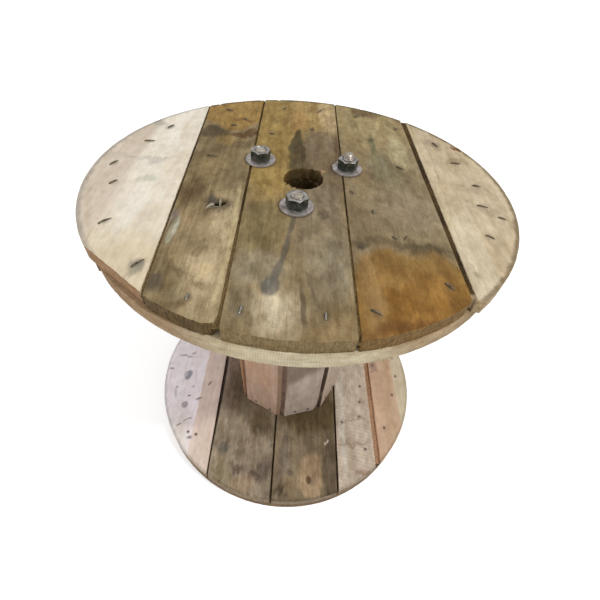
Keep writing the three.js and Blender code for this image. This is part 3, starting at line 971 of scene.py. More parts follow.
def wood(name, spec):
    """Sawn timber: rings, fibres, saw marks, knots, stains, dirt, painted shade and end grain."""
    g = Graph(name)
    spec = {**PLAIN, **spec}
    grain = spec["grain"]
    place = g.place()
    x, y, z = g.split(place)
    along = (x, y, z)[AXES[grain]]
    if "turn" in spec:
        c, s = math.cos(spec["turn"]), math.sin(spec["turn"])
        across = g.plus(g.times(x, -s), g.times(y, c))
        deep = g.plus(g.times(x, c), g.times(y, s))
    else:
        across = y if grain == "x" else x
        deep = z
    local = g.join(g.plus(across, spec["seed"] * SEED_APART), along, deep)
    wavy = g.stretched(local, (0.05, 0.009, 0.05), 2, 0.6)
    late, knot = growth_rings(g, across, deep, wavy, local, place, spec)
    saw = saw_marks(g, along, across, local, spec)
    fibre = g.stretched(local, (0.62, 0.014, 0.62), 6, 0.72)
    streak = g.stretched(local, (0.14, 0.007, 0.14), 4, 0.6)
    blotch = g.stretched(local, (0.024, 0.011, 0.024), 5, 0.64)
    cloud = g.stretched(local, (0.05, 0.03, 0.05), 5, 0.62)
    mottle = g.stretched(local, (0.15, 0.07, 0.15), 5, 0.66)
    speck = g.stretched(local, (0.5, 0.16, 0.5), 3, 0.7)

    other = spec["other"] or [c * 0.86 for c in spec["colour"]]
    tint = g.mix(g.span(blotch, 0.42, 0.62), linear(spec["colour"]), linear(other))
    tint = banded(g, tint, across, wavy, spec)
    tint = stained(g, tint, g.join(across, along, 0) if "turn" in spec else place, spec)
    tint = spotted(g, tint, place, speck, knot, spec)
    colour = g.shaded(tint, g.times(late, spec["ring_depth"]), (0.66, 0.55, 0.42))
    for value, low, high, key, factor in (
            (fibre, 0.48, 0.72, "fibre", (0.55, 0.48, 0.4)),
            (streak, 0.38, 0.66, "streak", (0.66, 0.6, 0.54)),
            (cloud, 0.46, 0.64, "cloud", (0.6, 0.56, 0.5)),
            (cloud, 0.48, 0.34, "cloud", (1.32, 1.32, 1.3)),
            (mottle, 0.48, 0.64, "mottle", (0.62, 0.58, 0.5)),
            (mottle, 0.48, 0.34, "mottle", (1.36, 1.36, 1.34)),
            (speck, 0.6, 0.74, "specks", (0.42, 0.38, 0.33)),
            (speck, 0.42, 0.3, "flecks", (1.5, 1.48, 1.42))):
        colour = g.shaded(colour, g.span(value, low, high, 0, spec[key]), factor)
    colour = g.shaded(colour, g.span(saw, -0.35, 0.35, 0.22, 0), (0.6, 0.55, 0.5))

    # Dirt on the rim's arris; painted shade on the bore's wall and in torn pits.
    radius = g.plus(g.vector("LENGTH", g.join(x, y, 0)), g.times(mottle, 6))
    rim = g.span(radius, spec["rim_from"], RIM_DIRT_END, 0, spec["rim"])
    colour = g.shaded(colour, rim, spec["rim_tint"])
    normal = g.normal()
    wall = g.span(g.math("ABSOLUTE", normal[2]), 0.8, 0.4)
    bore = g.times(wall, g.span(radius, *BORE_SHADE, 0, spec["bore"]))
    for tear_x, tear_y, reach in spec["tears"]:
        sunk = g.span(z, *[TOP_Z / MM - depth for depth in PIT_SHADE])
        inner = g.span(g.ellipse(place, tear_x, tear_y, reach, reach, 0), 1.1, 1)
        bore = g.math("MAXIMUM", bore, g.times(inner, sunk))

    # End grain, which is darker and open.
    end = g.span(g.math("ABSOLUTE", normal[AXES[grain]]), 0.45, 0.8)
    pores = g.stretched(place, (0.6, 0.6, 0.13), 5, 0.72)
    end_colour = g.mix(g.span(pores, 0.36, 0.66), linear(spec["end"]), linear(spec["end_dark"]))
    end_colour = g.shaded(end_colour, g.span(mottle, 0.42, 0.62, 0, 0.5), (0.7, 0.66, 0.6))
    end_colour = g.shaded(end_colour, g.times(late, 0.5), (0.7, 0.64, 0.56))
    # The bore's wall and the torn pits are darkened here as painted shade.
    colour = g.shaded(g.mix(end, colour, end_colour), bore, (0.36, 0.31, 0.21))

    relief = g.times(fibre, 0.6)
    for value, share in ((late, -0.25), (saw, 0.6), (speck, 0.35), (mottle, 0.3)):
        relief = g.plus(relief, g.times(value, share))
    relief = g.plus(relief, g.times(g.times(pores, end), 1.6))
    return g.feed({
        "Base Color": colour,
        "Roughness": g.span(streak, 0.3, 0.7, 0.7, 0.9),
        "Specular IOR Level": 0.15,
        "Normal": g.bump(relief, 0.45 * MM),
    })


def dirt(name, light, dark, front, reach=(-40, -150)):
    """Dry grit, of another colour toward the front."""
    g = Graph(name)
    place = g.place()
    grit = g.stretched(place, (0.7, 0.7, 0.7), 4, 0.7)
    patch = g.stretched(place, (0.05, 0.02, 0.05), 3, 0.6)
    colour = g.mix(g.span(patch, 0.4, 0.6), linear(light), linear(dark))
    colour = g.mix(g.span(g.split(place)[1], *reach), colour, linear(front))
    return g.feed({
        "Base Color": g.shaded(colour, g.span(grit, 0.4, 0.65), (0.4, 0.38, 0.34)),
        "Roughness": 1,
        "Specular IOR Level": 0.1,
        "Normal": g.bump(grit, 1.2 * MM),
    })


def metal(name, colour, dirt_colour, dirty, roughness, side=None):
    """Dull metal with finger marks, scratches and dirt; upright faces may get another, darker colour as
    painted shade.
    """
    g = Graph(name)
    place = g.place()
    cloud = g.stretched(place, (0.16, 0.16, 0.16), 4, 0.62)
    fine = g.stretched(place, (1.6, 1.6, 1.6), 3, 0.6)
    scratch = g.stretched(place, (4, 0.3, 0.3), 2, 0.5)
    grime = g.span(g.plus(cloud, g.times(fine, 0.35)), 0.55, 0.85, 0, dirty)
    clean = linear(colour)
    # Upright faces take the side colour: painted shade, darker than the tops.
    if side:
        clean = g.mix(g.span(g.math("ABSOLUTE", g.normal()[2]), 0.3, 0.75), linear(side), clean)
    rough = g.span(cloud, 0.3, 0.7, roughness, roughness + 0.2)
    return g.feed({
        "Base Color": g.mix(grime, clean, linear(dirt_colour)),
        "Metallic": g.span(grime, 0, 1, 1, 0.55),
        "Roughness": g.plus(rough, g.times(grime, 0.2)),
        "Normal": g.bump(g.plus(fine, g.times(scratch, 0.4)), 0.06 * MM),
    })


# ---- what each plank looks like

# Lengths are in the drum's millimetres and colours in 0..255 screen values. A stain or mark is
# x, y, its two radii and its turn in degrees, then its colour, strength and, if it isn't
# STAIN_BLUR, its blur; a band is two edges across the grain, its colour and strength; a spot or
# knot is x, y and its radius; a tear is x, y and reach. A notch is an angle on a bore's rim, its
# half width in degrees and its depth; filled is x, y, reach and pull toward that point; cut is a
# direction and how far that way the outline goes; broken is x, y, height and depth. rim is how
# dirty the rim is, from the radius rim_from on, and bore is how much painted shade a bore's wall
# gets. PLAIN is what a piece of wood looks like where its own entry doesn't say.
PLAIN = dict(
    other=(), stains=[], marks=[], bands=[], band_edge=1, spots=[], halo=0.45, knots=[], tears=[],
    pith=0, pith_z=380, ring=6.5, ring_depth=0.5, cathedral=70, saw=0.5, saw_skew=0.08, saw_pitch=3.1,
    fibre=0.3, streak=0.3, cloud=0.3, mottle=0.3, specks=0.3, flecks=0,
    rim=0.85, rim_from=246, rim_tint=(0.36, 0.33, 0.26), bore=0.9, end=(118, 98, 68), end_dark=(78, 62, 40),
    # The shape: how rough, torn or worn its edges are, and where its outline is changed.
    slice=SLICE, bevel=0.8, wane=0.3, torn=0.35, bore_rough=0.8, notches=[], trim=0, filled=[], cut=[],
    broken=[])
SMOOTH = dict(ring_depth=0.16, fibre=0.2, streak=0.16, mottle=0.2, cloud=0.16, specks=0.12, saw=0.12)
WORN = dict(ring_depth=0.36, fibre=0.5, streak=0.45, mottle=0.42, cloud=0.6, specks=0.6, flecks=0.3,
            saw=0.15)
TOP_OUTER = [dict(
    SMOOTH, colour=(227, 219, 204), other=(221, 210, 190), ring=12, pith=-150, rim=0.8,
    rim_tint=(0.62, 0.64, 0.68), band_edge=4, end=(160, 126, 94), end_dark=(132, 100, 70), halo=0.3,
    bands=[(-260, -205, (204, 190, 172), 0.85), (-184, -170, (232, 226, 214), 0.6)],
    stains=[
        (-165, -190, 60, 62, 30, (208, 192, 160), 0.75), (-185, 24, 24, 7, 5, (192, 186, 176), 0.6),
        (-180, -28, 12, 8, 0, (196, 196, 178), 0.6), (-203, 126, 9, 9, 0, (160, 160, 152), 0.6),
        (-187, 112, 5, 9, -20, (150, 150, 142), 0.55), (-150, -168, 5, 11, 8, (136, 132, 118), 0.75),
        (-226, 25, 14, 5, 0, (180, 170, 154), 0.5), (-222, -90, 3, 50, 20, (188, 172, 150), 0.4)],
), dict(
    WORN, colour=(143, 126, 93), other=(119, 104, 76), fibre=0.65, flecks=0.6, ring=7, pith=-90, torn=0.9,
    end=(110, 90, 58), end_dark=(70, 56, 34), tears=[(-91, -66, 15)],
    spots=[(-74, 193, 5)],
    stains=[
        (-104, 198, 52, 72, 0, (156, 127, 74), 0.95, 0.08),
        (-126, 108, 18, 20, 0, (93, 80, 57), 0.95, 0.25), (-84, 112, 26, 8, 16, (94, 70, 40), 0.9, 0.4),
        (-108, 86, 14, 18, 0, (144, 122, 76), 0.8, 0.4), (-82, 80, 12, 14, 0, (104, 88, 62), 0.6),
        (-124, -38, 12, 34, 0, (96, 74, 50), 0.7), (-84, -150, 22, 96, 0, (184, 167, 134), 0.9, 0.45),
        (-114, -120, 20, 40, 0, (154, 136, 104), 0.7), (-124, -165, 4, 34, 10, (104, 88, 62), 0.6),
        (-109, -176, 3, 16, 30, (112, 92, 64), 0.6), (-98, -142, 5, 10, -30, (120, 100, 72), 0.55),
        (-90, -190, 4, 9, 40, (124, 102, 74), 0.5), (-112, -140, 6, 7, 0, (128, 110, 80), 0.5),
        (-84, -168, 6, 8, 20, (196, 174, 134), 0.5), (-104, -215, 12, 6, 0, (112, 92, 64), 0.6),
        (-134, -88, 5, 12, 0, (130, 120, 112), 0.75), (-128, -196, 8, 12, 0, (88, 78, 66), 0.8, 0.4),
        (-92, -62, 15, 12, 0, (92, 80, 62), 0.8), (-101, -53, 4.5, 12, 20, (95, 88, 78), 0.85, 0.3),
        (-72, -120, 3, 90, 0, (196, 180, 140), 0.7), (-92, 160, 3, 16, 60, (112, 82, 44), 0.7),
        (-112, 20, 14, 26, 0, (146, 126, 90), 0.6)],
    marks=[
        (-130, -114, 5.4, 24, -4, (112, 98, 74), 0.7, 0.2),
        (-129, -114, 4.2, 22, -4, (160, 156, 134), 0.9, 0.25),
        (-127.5, -112, 2, 16, -4, (188, 182, 164), 0.8, 0.4)],
), dict(
    WORN, colour=(146, 127, 92), other=(132, 116, 86), ring=8, pith=-20, mottle=0.5, end=(140, 121, 88),
    end_dark=(112, 94, 62), bore_rough=1.0, knots=[(12, 141, 4)],
    spots=[(-31, -188, 5)],
    notches=[
        (204, 7, 2.0), (218, 4, 3.2), (228, 3, 1.0), (238, 4, 2.6), (252, 4, 1.6), (44, 10, 5.5),
        (66, 7, 3.0), (96, 5, 1.2)],
    stains=[
        (-40, 110, 40, 165, 0, (156, 132, 78), 0.92, 0.25),
        (12, 200, 44, 62, 0, (164, 139, 88), 0.88, 0.3), (38, 200, 13, 64, 0, (188, 169, 130), 0.85),
        (-5, 168, 12, 36, 0, (172, 138, 86), 0.6), (-30, 200, 8, 44, 0, (140, 114, 66), 0.6),
        (24, 40, 30, 96, 0, (118, 103, 80), 0.92, 0.16), (-4, 32, 16, 24, 0, (94, 82, 58), 0.9, 0.3),
        (0, -47, 6, 14, 0, (84, 74, 50), 0.9, 0.3), (20, 22, 5, 4, 45, (176, 146, 112), 0.8, 0.4),
        (44, 88, 5, 40, 0, (96, 74, 52), 0.7), (30, 90, 4, 30, 6, (134, 118, 94), 0.6),
        (-42, -96, 26, 42, 0, (126, 112, 78), 0.85, 0.3), (22, -110, 30, 90, 0, (131, 119, 98), 0.8, 0.4),
        (-40, -160, 26, 28, 0, (150, 140, 118), 0.8), (-20, -216, 20, 28, 0, (208, 195, 168), 0.9, 0.6),
        (2, -208, 3, 24, 6, (100, 88, 68), 0.8), (10, -188, 2.2, 22, 12, (102, 90, 70), 0.75),
        (30, -150, 14, 50, 0, (146, 136, 114), 0.6), (-52, -205, 8, 16, 0, (120, 110, 90), 0.6),
        (22, -66, 6, 10, 0, (92, 80, 62), 0.75)],
    marks=[
        (-9, 112, 4.6, 27, -3, (88, 77, 51), 0.93, 0.25), (-10, 95, 8.5, 22, -4, (86, 76, 50), 0.93, 0.18),
        (-10, 78, 13, 14, 0, (86, 75, 50), 0.93, 0.18), (-8, 56, 12, 22, 0, (87, 76, 51), 0.9, 0.25),
        (-11, -94, 2.6, 22, -8, (92, 86, 74), 0.75, 0.5), (-16, -132, 3, 22, -8, (98, 92, 80), 0.8, 0.4),
        (-23, -164, 4, 16, -12, (96, 91, 82), 0.75, 0.4),
        (-28, -184, 8, 13, -6, (104, 101, 94), 0.85, 0.25)],
), dict(
    WORN, colour=(142, 127, 98), other=(128, 113, 86), ring=9, pith=105, flecks=0.7, ring_depth=0.22,
    streak=0.25, fibre=0.4, cloud=0.5, end=(136, 108, 66), end_dark=(98, 76, 44),
    filled=[(154, -195, 17, 0.85)],
    stains=[
        (100, 180, 60, 100, 0, (156, 139, 100), 0.85, 0.4), (96, 218, 20, 20, 0, (108, 90, 62), 0.85),
        (128, 190, 6, 46, 20, (122, 110, 74), 0.7), (110, 170, 4, 40, -20, (176, 158, 118), 0.6),
        (96, 106, 4, 30, 0, (106, 106, 78), 0.8, 0.5), (102, 44, 13, 38, 0, (112, 112, 86), 0.7, 0.9),
        (112, 20, 18, 30, 0, (120, 112, 88), 0.65, 0.8), (132, 92, 12, 46, 0, (178, 167, 131), 0.85),
        (68, 60, 14, 80, 0, (140, 122, 88), 0.65), (72, -64, 18, 40, 0, (128, 112, 86), 0.6),
        (120, -50, 34, 44, 0, (142, 128, 106), 0.65), (100, -112, 62, 12, 0, (132, 117, 88), 0.6, 0.6),
        (76, -118, 34, 8, 4, (98, 84, 62), 0.6, 0.6), (124, -124, 30, 8, -14, (88, 76, 54), 0.85, 0.6),
        (104, -196, 72, 68, 0, (136, 106, 58), 0.97, 0.12),
        (106, -206, 58, 52, 6, (134, 96, 42), 0.9, 0.35), (60, -190, 10, 44, 0, (154, 124, 80), 0.8),
        (84, -168, 22, 10, 10, (158, 124, 72), 0.7), (118, -176, 24, 12, 24, (160, 122, 64), 0.6),
        (104, -212, 18, 8, 14, (156, 116, 60), 0.55), (90, -228, 40, 10, 8, (112, 76, 38), 0.7),
        (138, -190, 9, 34, 0, (112, 82, 40), 0.7), (60, -123, 8, 6, 0, (84, 72, 54), 0.7),
        (106, -104, 3, 3, 0, (70, 60, 46), 0.8)],
    spots=[(58, -124, 5)],
), dict(
    SMOOTH, colour=(194, 179, 152), other=(188, 171, 142), ring=10, streak=0.25, mottle=0.3, cloud=0.3,
    pith=230, halo=0.3, end=(190, 168, 134), end_dark=(156, 132, 100),
    bands=[(140, 169, (194, 179, 149), 0.8)], cut=[(-0.2, -0.98, 153)],
    marks=[(166, -155, 2.6, 5, 20, (158, 150, 122), 0.75)],
    stains=[
        (168, -140, 17, 80, -6, (204, 191, 166), 0.85, 0.2), (188, 122, 14, 12, 0, (152, 136, 114), 0.65),
        (207, 68, 17, 9, 10, (158, 140, 114), 0.8), (217, 6, 20, 10, 0, (168, 152, 128), 0.65),
        (214, -42, 16, 9, 0, (170, 154, 130), 0.75), (222, 108, 6, 9, 30, (118, 80, 48), 0.95, 0.2),
        (232, 60, 8, 60, 0, (200, 184, 152), 0.5), (170, 30, 1.0, 200, -2, (152, 130, 98), 0.35, 0.6),
        (166, 200, 3, 60, -4, (172, 148, 112), 0.6), (200, -130, 1.2, 60, 12, (170, 150, 122), 0.3, 0.6),
        (220, -110, 10, 30, 16, (196, 178, 150), 0.5)],
    spots=[(200, 9, 3), (194, -26, 3)],
)]
for i, spec in enumerate(TOP_OUTER):
    spec.update(grain="y", seed=11 + 7 * i, pith_z=384, bevel=0.5, wane=0.2)

TOP_INNER = [
    dict(
        SMOOTH, colour=(204, 193, 166), other=(194, 180, 150), saw=1.0, saw_pitch=2.4, rim=0.1, mottle=0.4,
        fibre=0.4,
        stains=[
            (-190, -190, 110, 90, 0, (158, 132, 102), 0.95, 0.3),
            (160, -190, 100, 90, 0, (172, 150, 118), 0.95, 0.3)]),
    dict(colour=(156, 128, 96), trim=2.8),
    dict(colour=(110, 92, 62), bore=1.0),
    # The bore passes through this plank: its darker colour and its full bore value are painted shade down
    # the bore.
    dict(colour=(156, 128, 96)),
    dict(colour=(158, 130, 98)),
]
for i, spec in enumerate(TOP_INNER):
    spec.update(grain="x", seed=61 + 5 * i, pith=-200 + 100 * i, bore_rough=1.2, end=(156, 126, 92),
                end_dark=(110, 86, 58))

BOTTOM_INNER = [dict(
    SMOOTH, colour=(254, 247, 254), other=(250, 240, 246), ring=12, rim_tint=(0.3, 0.3, 0.3),
    bands=[(-171, -120, (228, 207, 195), 0.9)],
    spots=[(-174, -148, 3)],
    stains=[
        (-146, -190, 26, 70, 0, (220, 202, 186), 0.8, 0.5), (-205, -170, 34, 70, 0, (226, 218, 208), 0.7)],
    marks=[
        (-203.5, -22, 6.5, 11.5, -14, (128, 132, 148), 0.8, 0.3),
        (-208.5, -20, 4.5, 6.5, -14, (206, 200, 208), 0.75, 0.35),
        (-199, 69, 6, 11, 0, (164, 154, 168), 0.6, 0.4), (-198, 66, 2.2, 4, 0, (132, 122, 134), 0.6),
        (-213, 79, 3.5, 1.6, 0, (110, 100, 108), 0.7), (-222, 25, 9, 2.6, -4, (146, 140, 152), 0.65),
        (-210, 21, 7, 2.2, 12, (146, 140, 152), 0.6), (-203, 32, 5, 2.2, 45, (140, 134, 146), 0.65),
        (-240, -8, 5, 2.2, 0, (140, 132, 138), 0.7), (-197, -86, 6, 6.5, 0, (138, 128, 136), 0.7, 0.35),
        (-197, -85, 2, 2.4, 0, (206, 196, 200), 0.8), (-220, -62, 3, 10, 14, (168, 160, 168), 0.55, 0.7),
        (-220, -50, 3, 2, 0, (150, 140, 148), 0.6), (-188, -47, 2.6, 1.8, 0, (146, 132, 138), 0.6),
        (-175, -74, 5, 2, 15, (150, 132, 130), 0.5), (-175, -149, 5, 3, 0, (126, 116, 114), 0.6),
        (-199, -126, 5.5, 1.2, 34, (100, 88, 88), 0.8), (-188, -116, 7, 0.9, 38, (128, 116, 116), 0.7),
        (-181, -112, 3.4, 1.5, 20, (110, 98, 98), 0.6)],
), dict(
    WORN, colour=(162, 148, 128), other=(142, 130, 112), ring=8,
    marks=[(-130.5, -20, 3.4, 130, 0, (38, 30, 22), 0.92, 0.3)],
    spots=[(-25, -158, 3), (-62, -163, 3)],
    stains=[
        (-112, -10, 40, 80, 0, (140, 122, 110), 0.95, 0.25),
        # The two dark stains on this line, at the barrel's foot, are partly the plank's weathering and
        # partly painted shade under the top flange.
        (-60, -60, 56, 60, 0, (105, 92, 74), 0.85, 0.3), (-46, -122, 26, 26, 0, (88, 75, 52), 0.85),
        (-88, -194, 17, 7, 8, (92, 78, 70), 0.8, 0.8), (-52, -208, 12, 9, 0, (96, 82, 74), 0.85),
        (-112, -168, 9, 12, 0, (112, 112, 104), 0.75), (-76, -222, 22, 16, 0, (180, 160, 134), 0.85),
        (-36, -190, 12, 20, 0, (102, 88, 78), 0.75), (-112, -215, 16, 30, 0, (156, 146, 118), 0.6),
        (-90, -140, 14, 18, 0, (138, 128, 108), 0.6)],
), dict(
    WORN, colour=(140, 126, 104), other=(128, 114, 92), ring=8, knots=[(42, -214, 5)],
    spots=[(45, -215, 6), (3, -240, 5)],
    stains=[
        # The first stain on this line, dark at the barrel's foot, is partly the plank's weathering and
        # partly painted shade under the top flange.
        (50, -90, 60, 46, 0, (88, 74, 48), 0.92, 0.3), (46, -206, 22, 36, 0, (167, 145, 116), 0.94, 0.18),
        (82, -190, 13, 60, 0, (100, 87, 70), 0.9, 0.3), (-2, -186, 12, 60, 0, (128, 116, 102), 0.75),
        (10, -226, 16, 18, 0, (140, 120, 92), 0.65), (42, -150, 12, 20, 0, (104, 90, 68), 0.6),
        (76, -143, 6, 2, 24, (222, 214, 198), 0.97, 0.4), (-6, -232, 12, 4, 30, (78, 66, 50), 0.7, 0.8)],
), dict(
    SMOOTH, colour=(194, 179, 162), other=(186, 170, 152), ring=10, saw=0.9, saw_pitch=6.5, mottle=0.4,
    cloud=0.4,
    spots=[(120, -75, 2)],
    stains=[
        (106, -60, 6, 150, 0, (202, 196, 184), 0.6, 0.3),
        (142, -193, 18, 6, 4, (160, 136, 116), 0.85, 0.2), (148, 28, 6, 9, 0, (146, 134, 124), 0.75),
        (150, 55, 5, 7, 0, (152, 140, 130), 0.65), (130, -152, 30, 3, 2, (158, 138, 120), 0.65),
        (128, -106, 32, 2.5, 2, (162, 144, 128), 0.65)],
), dict(
    SMOOTH, colour=(200, 172, 146), other=(192, 162, 136), ring=9,
    bands=[(222, 260, (200, 188, 162), 0.9), (170, 180, (206, 172, 146), 0.5)],
    spots=[(177, 6, 3)],
    stains=[
        (210, 60, 6, 100, 0, (182, 148, 118), 0.7), (182, 20, 7, 8, 0, (158, 130, 116), 0.8),
        (205, -100, 10, 110, 0, (186, 160, 130), 0.5)],
)]
for i, spec in enumerate(BOTTOM_INNER):
    spec.update(grain="y", seed=101 + 7 * i, pith=-180 + 90 * i, pith_z=-60, rim=0.4, rim_from=247,
                end=(158, 142, 120), end_dark=(108, 92, 72))

BOTTOM_OUTER = [
    dict(colour=(184, 158, 130), grain="x", seed=151 + 5 * i, pith=-210 + 104 * i, pith_z=-70, slice=0.3,
         end=(164, 134, 104))
    for i in range(5)]
LAYERS = dict(top_outer=TOP_OUTER, top_inner=TOP_INNER, bottom_inner=BOTTOM_INNER,
              bottom_outer=BOTTOM_OUTER)

STAVES = [
    dict(
        colour=(176, 150, 132), other=(180, 148, 126), broken=[(-8, -101, 34, 5)],
        # The dark band at this stave's right edge is painted shade of the groove between it and stave 2.
        bands=[(30, 40, (128, 104, 84), 0.8)], stains=[(-26, 330, 12, 200, 0, (186, 146, 120), 0.6)]),
    dict(
        colour=(176, 162, 150), other=(168, 153, 141), broken=[(59, -84, 22, 5)],
        # Both dark bands are painted shade of the grooves at this stave's edges, the right one beside the
        # open joint.
        bands=[(-40, -32, (128, 108, 92), 0.7), (31.6, 42, (70, 54, 42), 0.9)],
        # This broad stain is a painted shadow of the top flange: the stave's upper left is darker, along a
        # diagonal edge.
        stains=[(-82, 295, 300, 150, 33, (134, 116, 102), 0.85, 0.07)]),
    # The dark band at this stave's left edge is painted shade of the open joint's groove.
    dict(colour=(190, 172, 156), other=(180, 162, 146), bands=[(-42, -35, (70, 54, 42), 0.9)]),
    dict(colour=(158, 134, 114)),
    dict(colour=(162, 140, 122)),
    dict(colour=(156, 132, 112)),
    dict(colour=(164, 142, 126)),
    dict(colour=(158, 122, 96), other=(150, 112, 84)),
]
STAVE_LOOK = dict(grain="z", pith_z=20, ring_depth=0.25, fibre=0.25, streak=0.25, mottle=0.2, cloud=0.16,
                  specks=0.15)

# Clenched nail tips on the top: x, y, direction in degrees, length, and the radius of the dark
# halo in the wood round it, 0 where there is none; the bright ones apart.
DARK_TIPS = [
    (-187, 117, 65, 13, 5), (-203, 69, 10, 13, 5), (-228, 7, 65, 13, 5), (-214, -35, 60, 11, 5),
    (-197, -107, 50, 14, 5), (-147, -165, 55, 14, 6), (-117, 40, -3, 14, 6), (-115, 189, -12, 12, 6),
    (-102, 136, 25, 9, 5), (-88, 160, -55, 8, 4), (-32, 211, 70, 15, 4), (25, 213, 65, 22, 5),
    (11, 141, 75, 16, 0), (-46, 117, 10, 6, 4), (83, 203, 65, 15, 5), (140, 165, 65, 10, 5),
    (98, 121, 80, 14, 6), (126, 42, -40, 12, 6), (95, -106, -40, 5, 4), (206, 65, -3, 13, 5),
    (217, 9, -5, 11, 5), (210, -37, -15, 13, 6), (225, -59, -25, 9, 5), (199, -95, -35, 10, 5),
    (190, 117, -65, 14, 6), (78, -61, 80, 7, 5), (57, -25, -50, 6, 5), (135, -173, -50, 11, 5),
    (63, -209, -30, 11, 5),
]
BRIGHT_TIPS = [(-95, -202, 85, 8, 4), (-50, -213, 85, 9, 4), (20, -215, 85, 9, 4)]
# Nail heads on the lower flange: x, y and halo.
DECK_HEADS = [
    (-199, 71, 0), (-179, -139, 3), (-164, -143, 3.5), (-74, -106, 0), (-115, -168, 4), (-84, -196, 4),
    (-49, -212, 4), (-1, -142, 5), (49, -144, 5), (10, -203, 6), (107, -109, 4), (227, 45, 5),
    (228, -2, 4), (214, -46, 4), (188, -116, 4), (149, -30, 4), (145, -65, 4), (142, -96, 4),
    (147, -158, 4), (182, 22, 4),
]
# Clenched tips on the lower flange, set out in the same way as those on the top.
DECK_TIPS = [(-157, -38, 65, 10, 0), (-171, -71, 22, 8, 0), (-192, -67, 25, 6, 0)]
# The heads on each stave: how far across it, and how far up from its foot or, below 0, its top.
STAVE_HEADS = ((-14, 12), (13, 10), (-12, -11), (15, -13))
# Slivers round the torn pit: from x, y to x, y, width, rise.
SPLINTERS = [((-98, -66), (-104, -76), 3.8, 0.5), ((-91, -70), (-104, -76.5), 1.5, 0.6),
             ((-90.5, -57), (-90, -71), 3.2, -0.6)]


# ---- the drum, piece by piece

def add_tips(name, tips, z, material):
    shape = Shape()
    for number, (x, y, degrees, length, _) in enumerate(tips):
        clenched_tip(shape, x, y, degrees, length, z, number)
    shape.make(name, material)


def add_heads(name, nails, z, up, radius, material):
    shape = Shape()
    for x, y, *_ in nails:
        nail_head(shape, Vector((x * MM, y * MM, z)), (0, 0, up), radius)
    shape.make(name, material)


def add_nails():
    dark = metal("nail_dark", (126, 117, 97), (74, 64, 48), dirty=0.9, roughness=0.5)
    bright = metal("nail_bright", (168, 168, 160), (84, 76, 62), dirty=0.7, roughness=0.3)
    blunt = metal("nail_heads", (136, 122, 108), (100, 86, 74), dirty=0.9, roughness=0.5)
    add_tips("nail_tips_dark", DARK_TIPS, TOP_Z - 0.2 * MM, dark)
    add_tips("nail_tips_bright", BRIGHT_TIPS, TOP_Z - 0.2 * MM, bright)
    add_heads("nail_heads_deck", DECK_HEADS, DECK_Z - 0.3 * MM, 1, DECK_HEAD_R, blunt)
    add_tips("nail_tips_deck", DECK_TIPS, DECK_Z - 0.5 * MM, blunt)
    add_heads("nail_heads_under", DARK_TIPS + BRIGHT_TIPS, UNDER_Z, -1, UNDER_HEAD_R, blunt)


def add_stave_nails():
    """Heads near each stave's foot and top, none quite in line."""
    material = metal("nail_stave", (84, 80, 76), (60, 46, 36), dirty=0.9, roughness=0.55)
    shape = Shape()
    for i in range(len(STAVES)):
        node = f"stave_{i + 1}"
        low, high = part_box(node)
        middle = centre(node)
        out = Vector((middle.x, middle.y, 0)).normalized()
        side = Vector((-out.y, out.x, 0))
        face = max(v.co.dot(out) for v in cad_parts[node].data.vertices)
        for k, (across, up) in enumerate(STAVE_HEADS):
            stray = noise_1d(NAIL_PLACE_SEED, [i * 7.3 + k * 1.9, i * 3.1 + k * 5.7], 1.0) * HEAD_STRAY
            z = (low.z if up > 0 else high.z) + (up + stray[1] * 0.5) * MM
            place = out * (face - 0.35 * MM) + side * (across + stray[0]) * MM
            nail_head(shape, Vector((place.x, place.y, z)), out, STAVE_HEAD_R)
    shape.make("nail_heads_staves", material)


def add_splinters():
    shape = Shape()
    for start, end, width, rise in SPLINTERS:
        splinter(shape, start, end, width, rise)
    look = dict(colour=(192, 186, 170), grain="y", seed=301, rim=0, streak=0.1, cloud=0.1,
                stains=[(-90, -63, 4.5, 12, 0, (128, 124, 90), 0.9, 0.1)])
    shape.make("splinters", wood("wood_splinters", look))


def add_halos(layer, nails):
    """Gives each plank of a layer the halo of every nail that goes through its face."""
    for i, spec in enumerate(LAYERS[layer]):
        low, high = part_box(f"{layer}_plank_{i + 1}")
        through = [(x, y, halo) for x, y, *_, halo in nails if halo and low.x < x * MM < high.x]
        spec["spots"] = through + spec.get("spots", [])


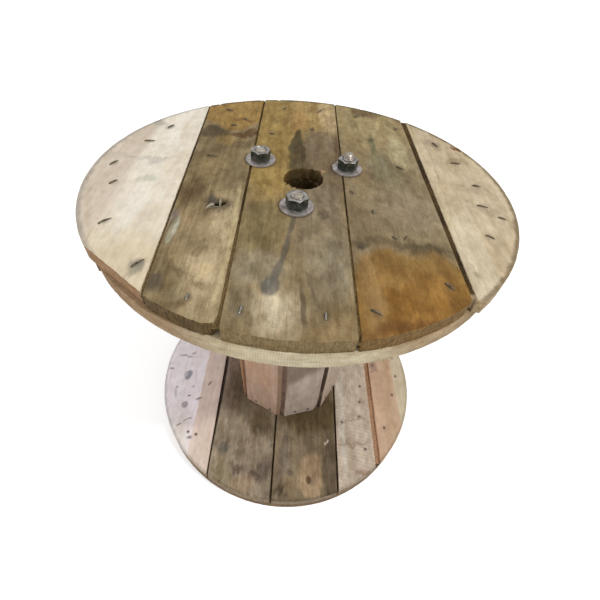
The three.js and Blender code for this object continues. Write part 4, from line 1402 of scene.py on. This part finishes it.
def add_timber():
    """Planks, staves and core formers, each with its own wood."""
    add_halos("top_outer", DARK_TIPS + BRIGHT_TIPS)
    add_halos("bottom_inner", DECK_HEADS)
    for layer, specs in LAYERS.items():
        for i, spec in enumerate(specs):
            node = f"{layer}_plank_{i + 1}"
            plank(node, wood(f"wood_{node}", spec), spec)
    for i, spec in enumerate(STAVES):
        node = f"stave_{i + 1}"
        middle = centre(node)
        spec = {**spec, **STAVE_LOOK, "seed": 211 + 3 * i, "turn": math.atan2(middle.y, middle.x)}
        stave(node, wood(f"wood_{node}", spec), spec)
    for i, node in enumerate(("core_former_top", "core_former_bottom")):
        spec = dict(colour=(166, 138, 104), grain="y", seed=251 + i, rim=0)
        plank(node, wood(f"wood_{node}", spec), spec)


def add_dirt(name, layer, seams, material, shift=0, **form):
    """Dirt in a layer's seams, each named by the plank on its left."""
    shape = Shape()
    for i in seams:
        packed_dirt(shape, f"{layer}_plank_{i}", f"{layer}_plank_{i + 1}", i + shift, **form)
    shape.make(name, material)


def add_joint_dirt(material):
    shape = Shape()
    for i in range(len(STAVES)):
        if i != OPEN_JOINT:
            packed_joint(shape, f"stave_{i + 1}", f"stave_{(i + 1) % len(STAVES) + 1}", i)
    shape.make("joint_dirt", material)


def add_ironmongery():
    bolt_zinc = metal("zinc_bolt", (166, 160, 150), (120, 102, 84), dirty=0.8, roughness=0.36)
    washer_zinc = metal("zinc_washer", (168, 163, 160), (118, 104, 98), dirty=0.85, roughness=0.38)
    # The nuts' side colour paints their upright faces darker than their tops: painted shade.
    nut_zinc = metal("zinc_nut", (156, 152, 148), (92, 86, 76), dirty=0.75, roughness=0.34,
                     side=(66, 76, 70))
    for i, (turn, short) in enumerate(zip(NUT_TURNS, TIP_SHORT)):
        tie_bolt(f"tie_bolt_{i + 1}", f"nut_{i + 1}", short, bolt_zinc)
        washer(f"washer_{i + 1}", washer_zinc)
        nut(f"nut_{i + 1}", math.radians(turn), nut_zinc)


add_camera()
add_stage()
add_timber()
add_dirt("seam_dirt", "top_outer", (1, 2, 3), dirt("dirt", (92, 72, 44), (62, 50, 32), (124, 102, 68)))
add_dirt("seam_dirt_right", "top_outer", (4,),
         dirt("dirt_right", (92, 72, 44), (62, 50, 32), (206, 182, 148), (-178, -184)), dip=0, thick=13)
add_dirt("seam_dirt_deck", "bottom_inner", (4,),
         dirt("dirt_deck", (206, 164, 130), (184, 142, 110), (200, 158, 126)), shift=1, sunk=5, widest=16)
add_joint_dirt(dirt("dirt_between_staves", (146, 122, 106), (120, 98, 84), (146, 122, 106)))
add_ironmongery()
add_nails()
add_stave_nails()
add_splinters()
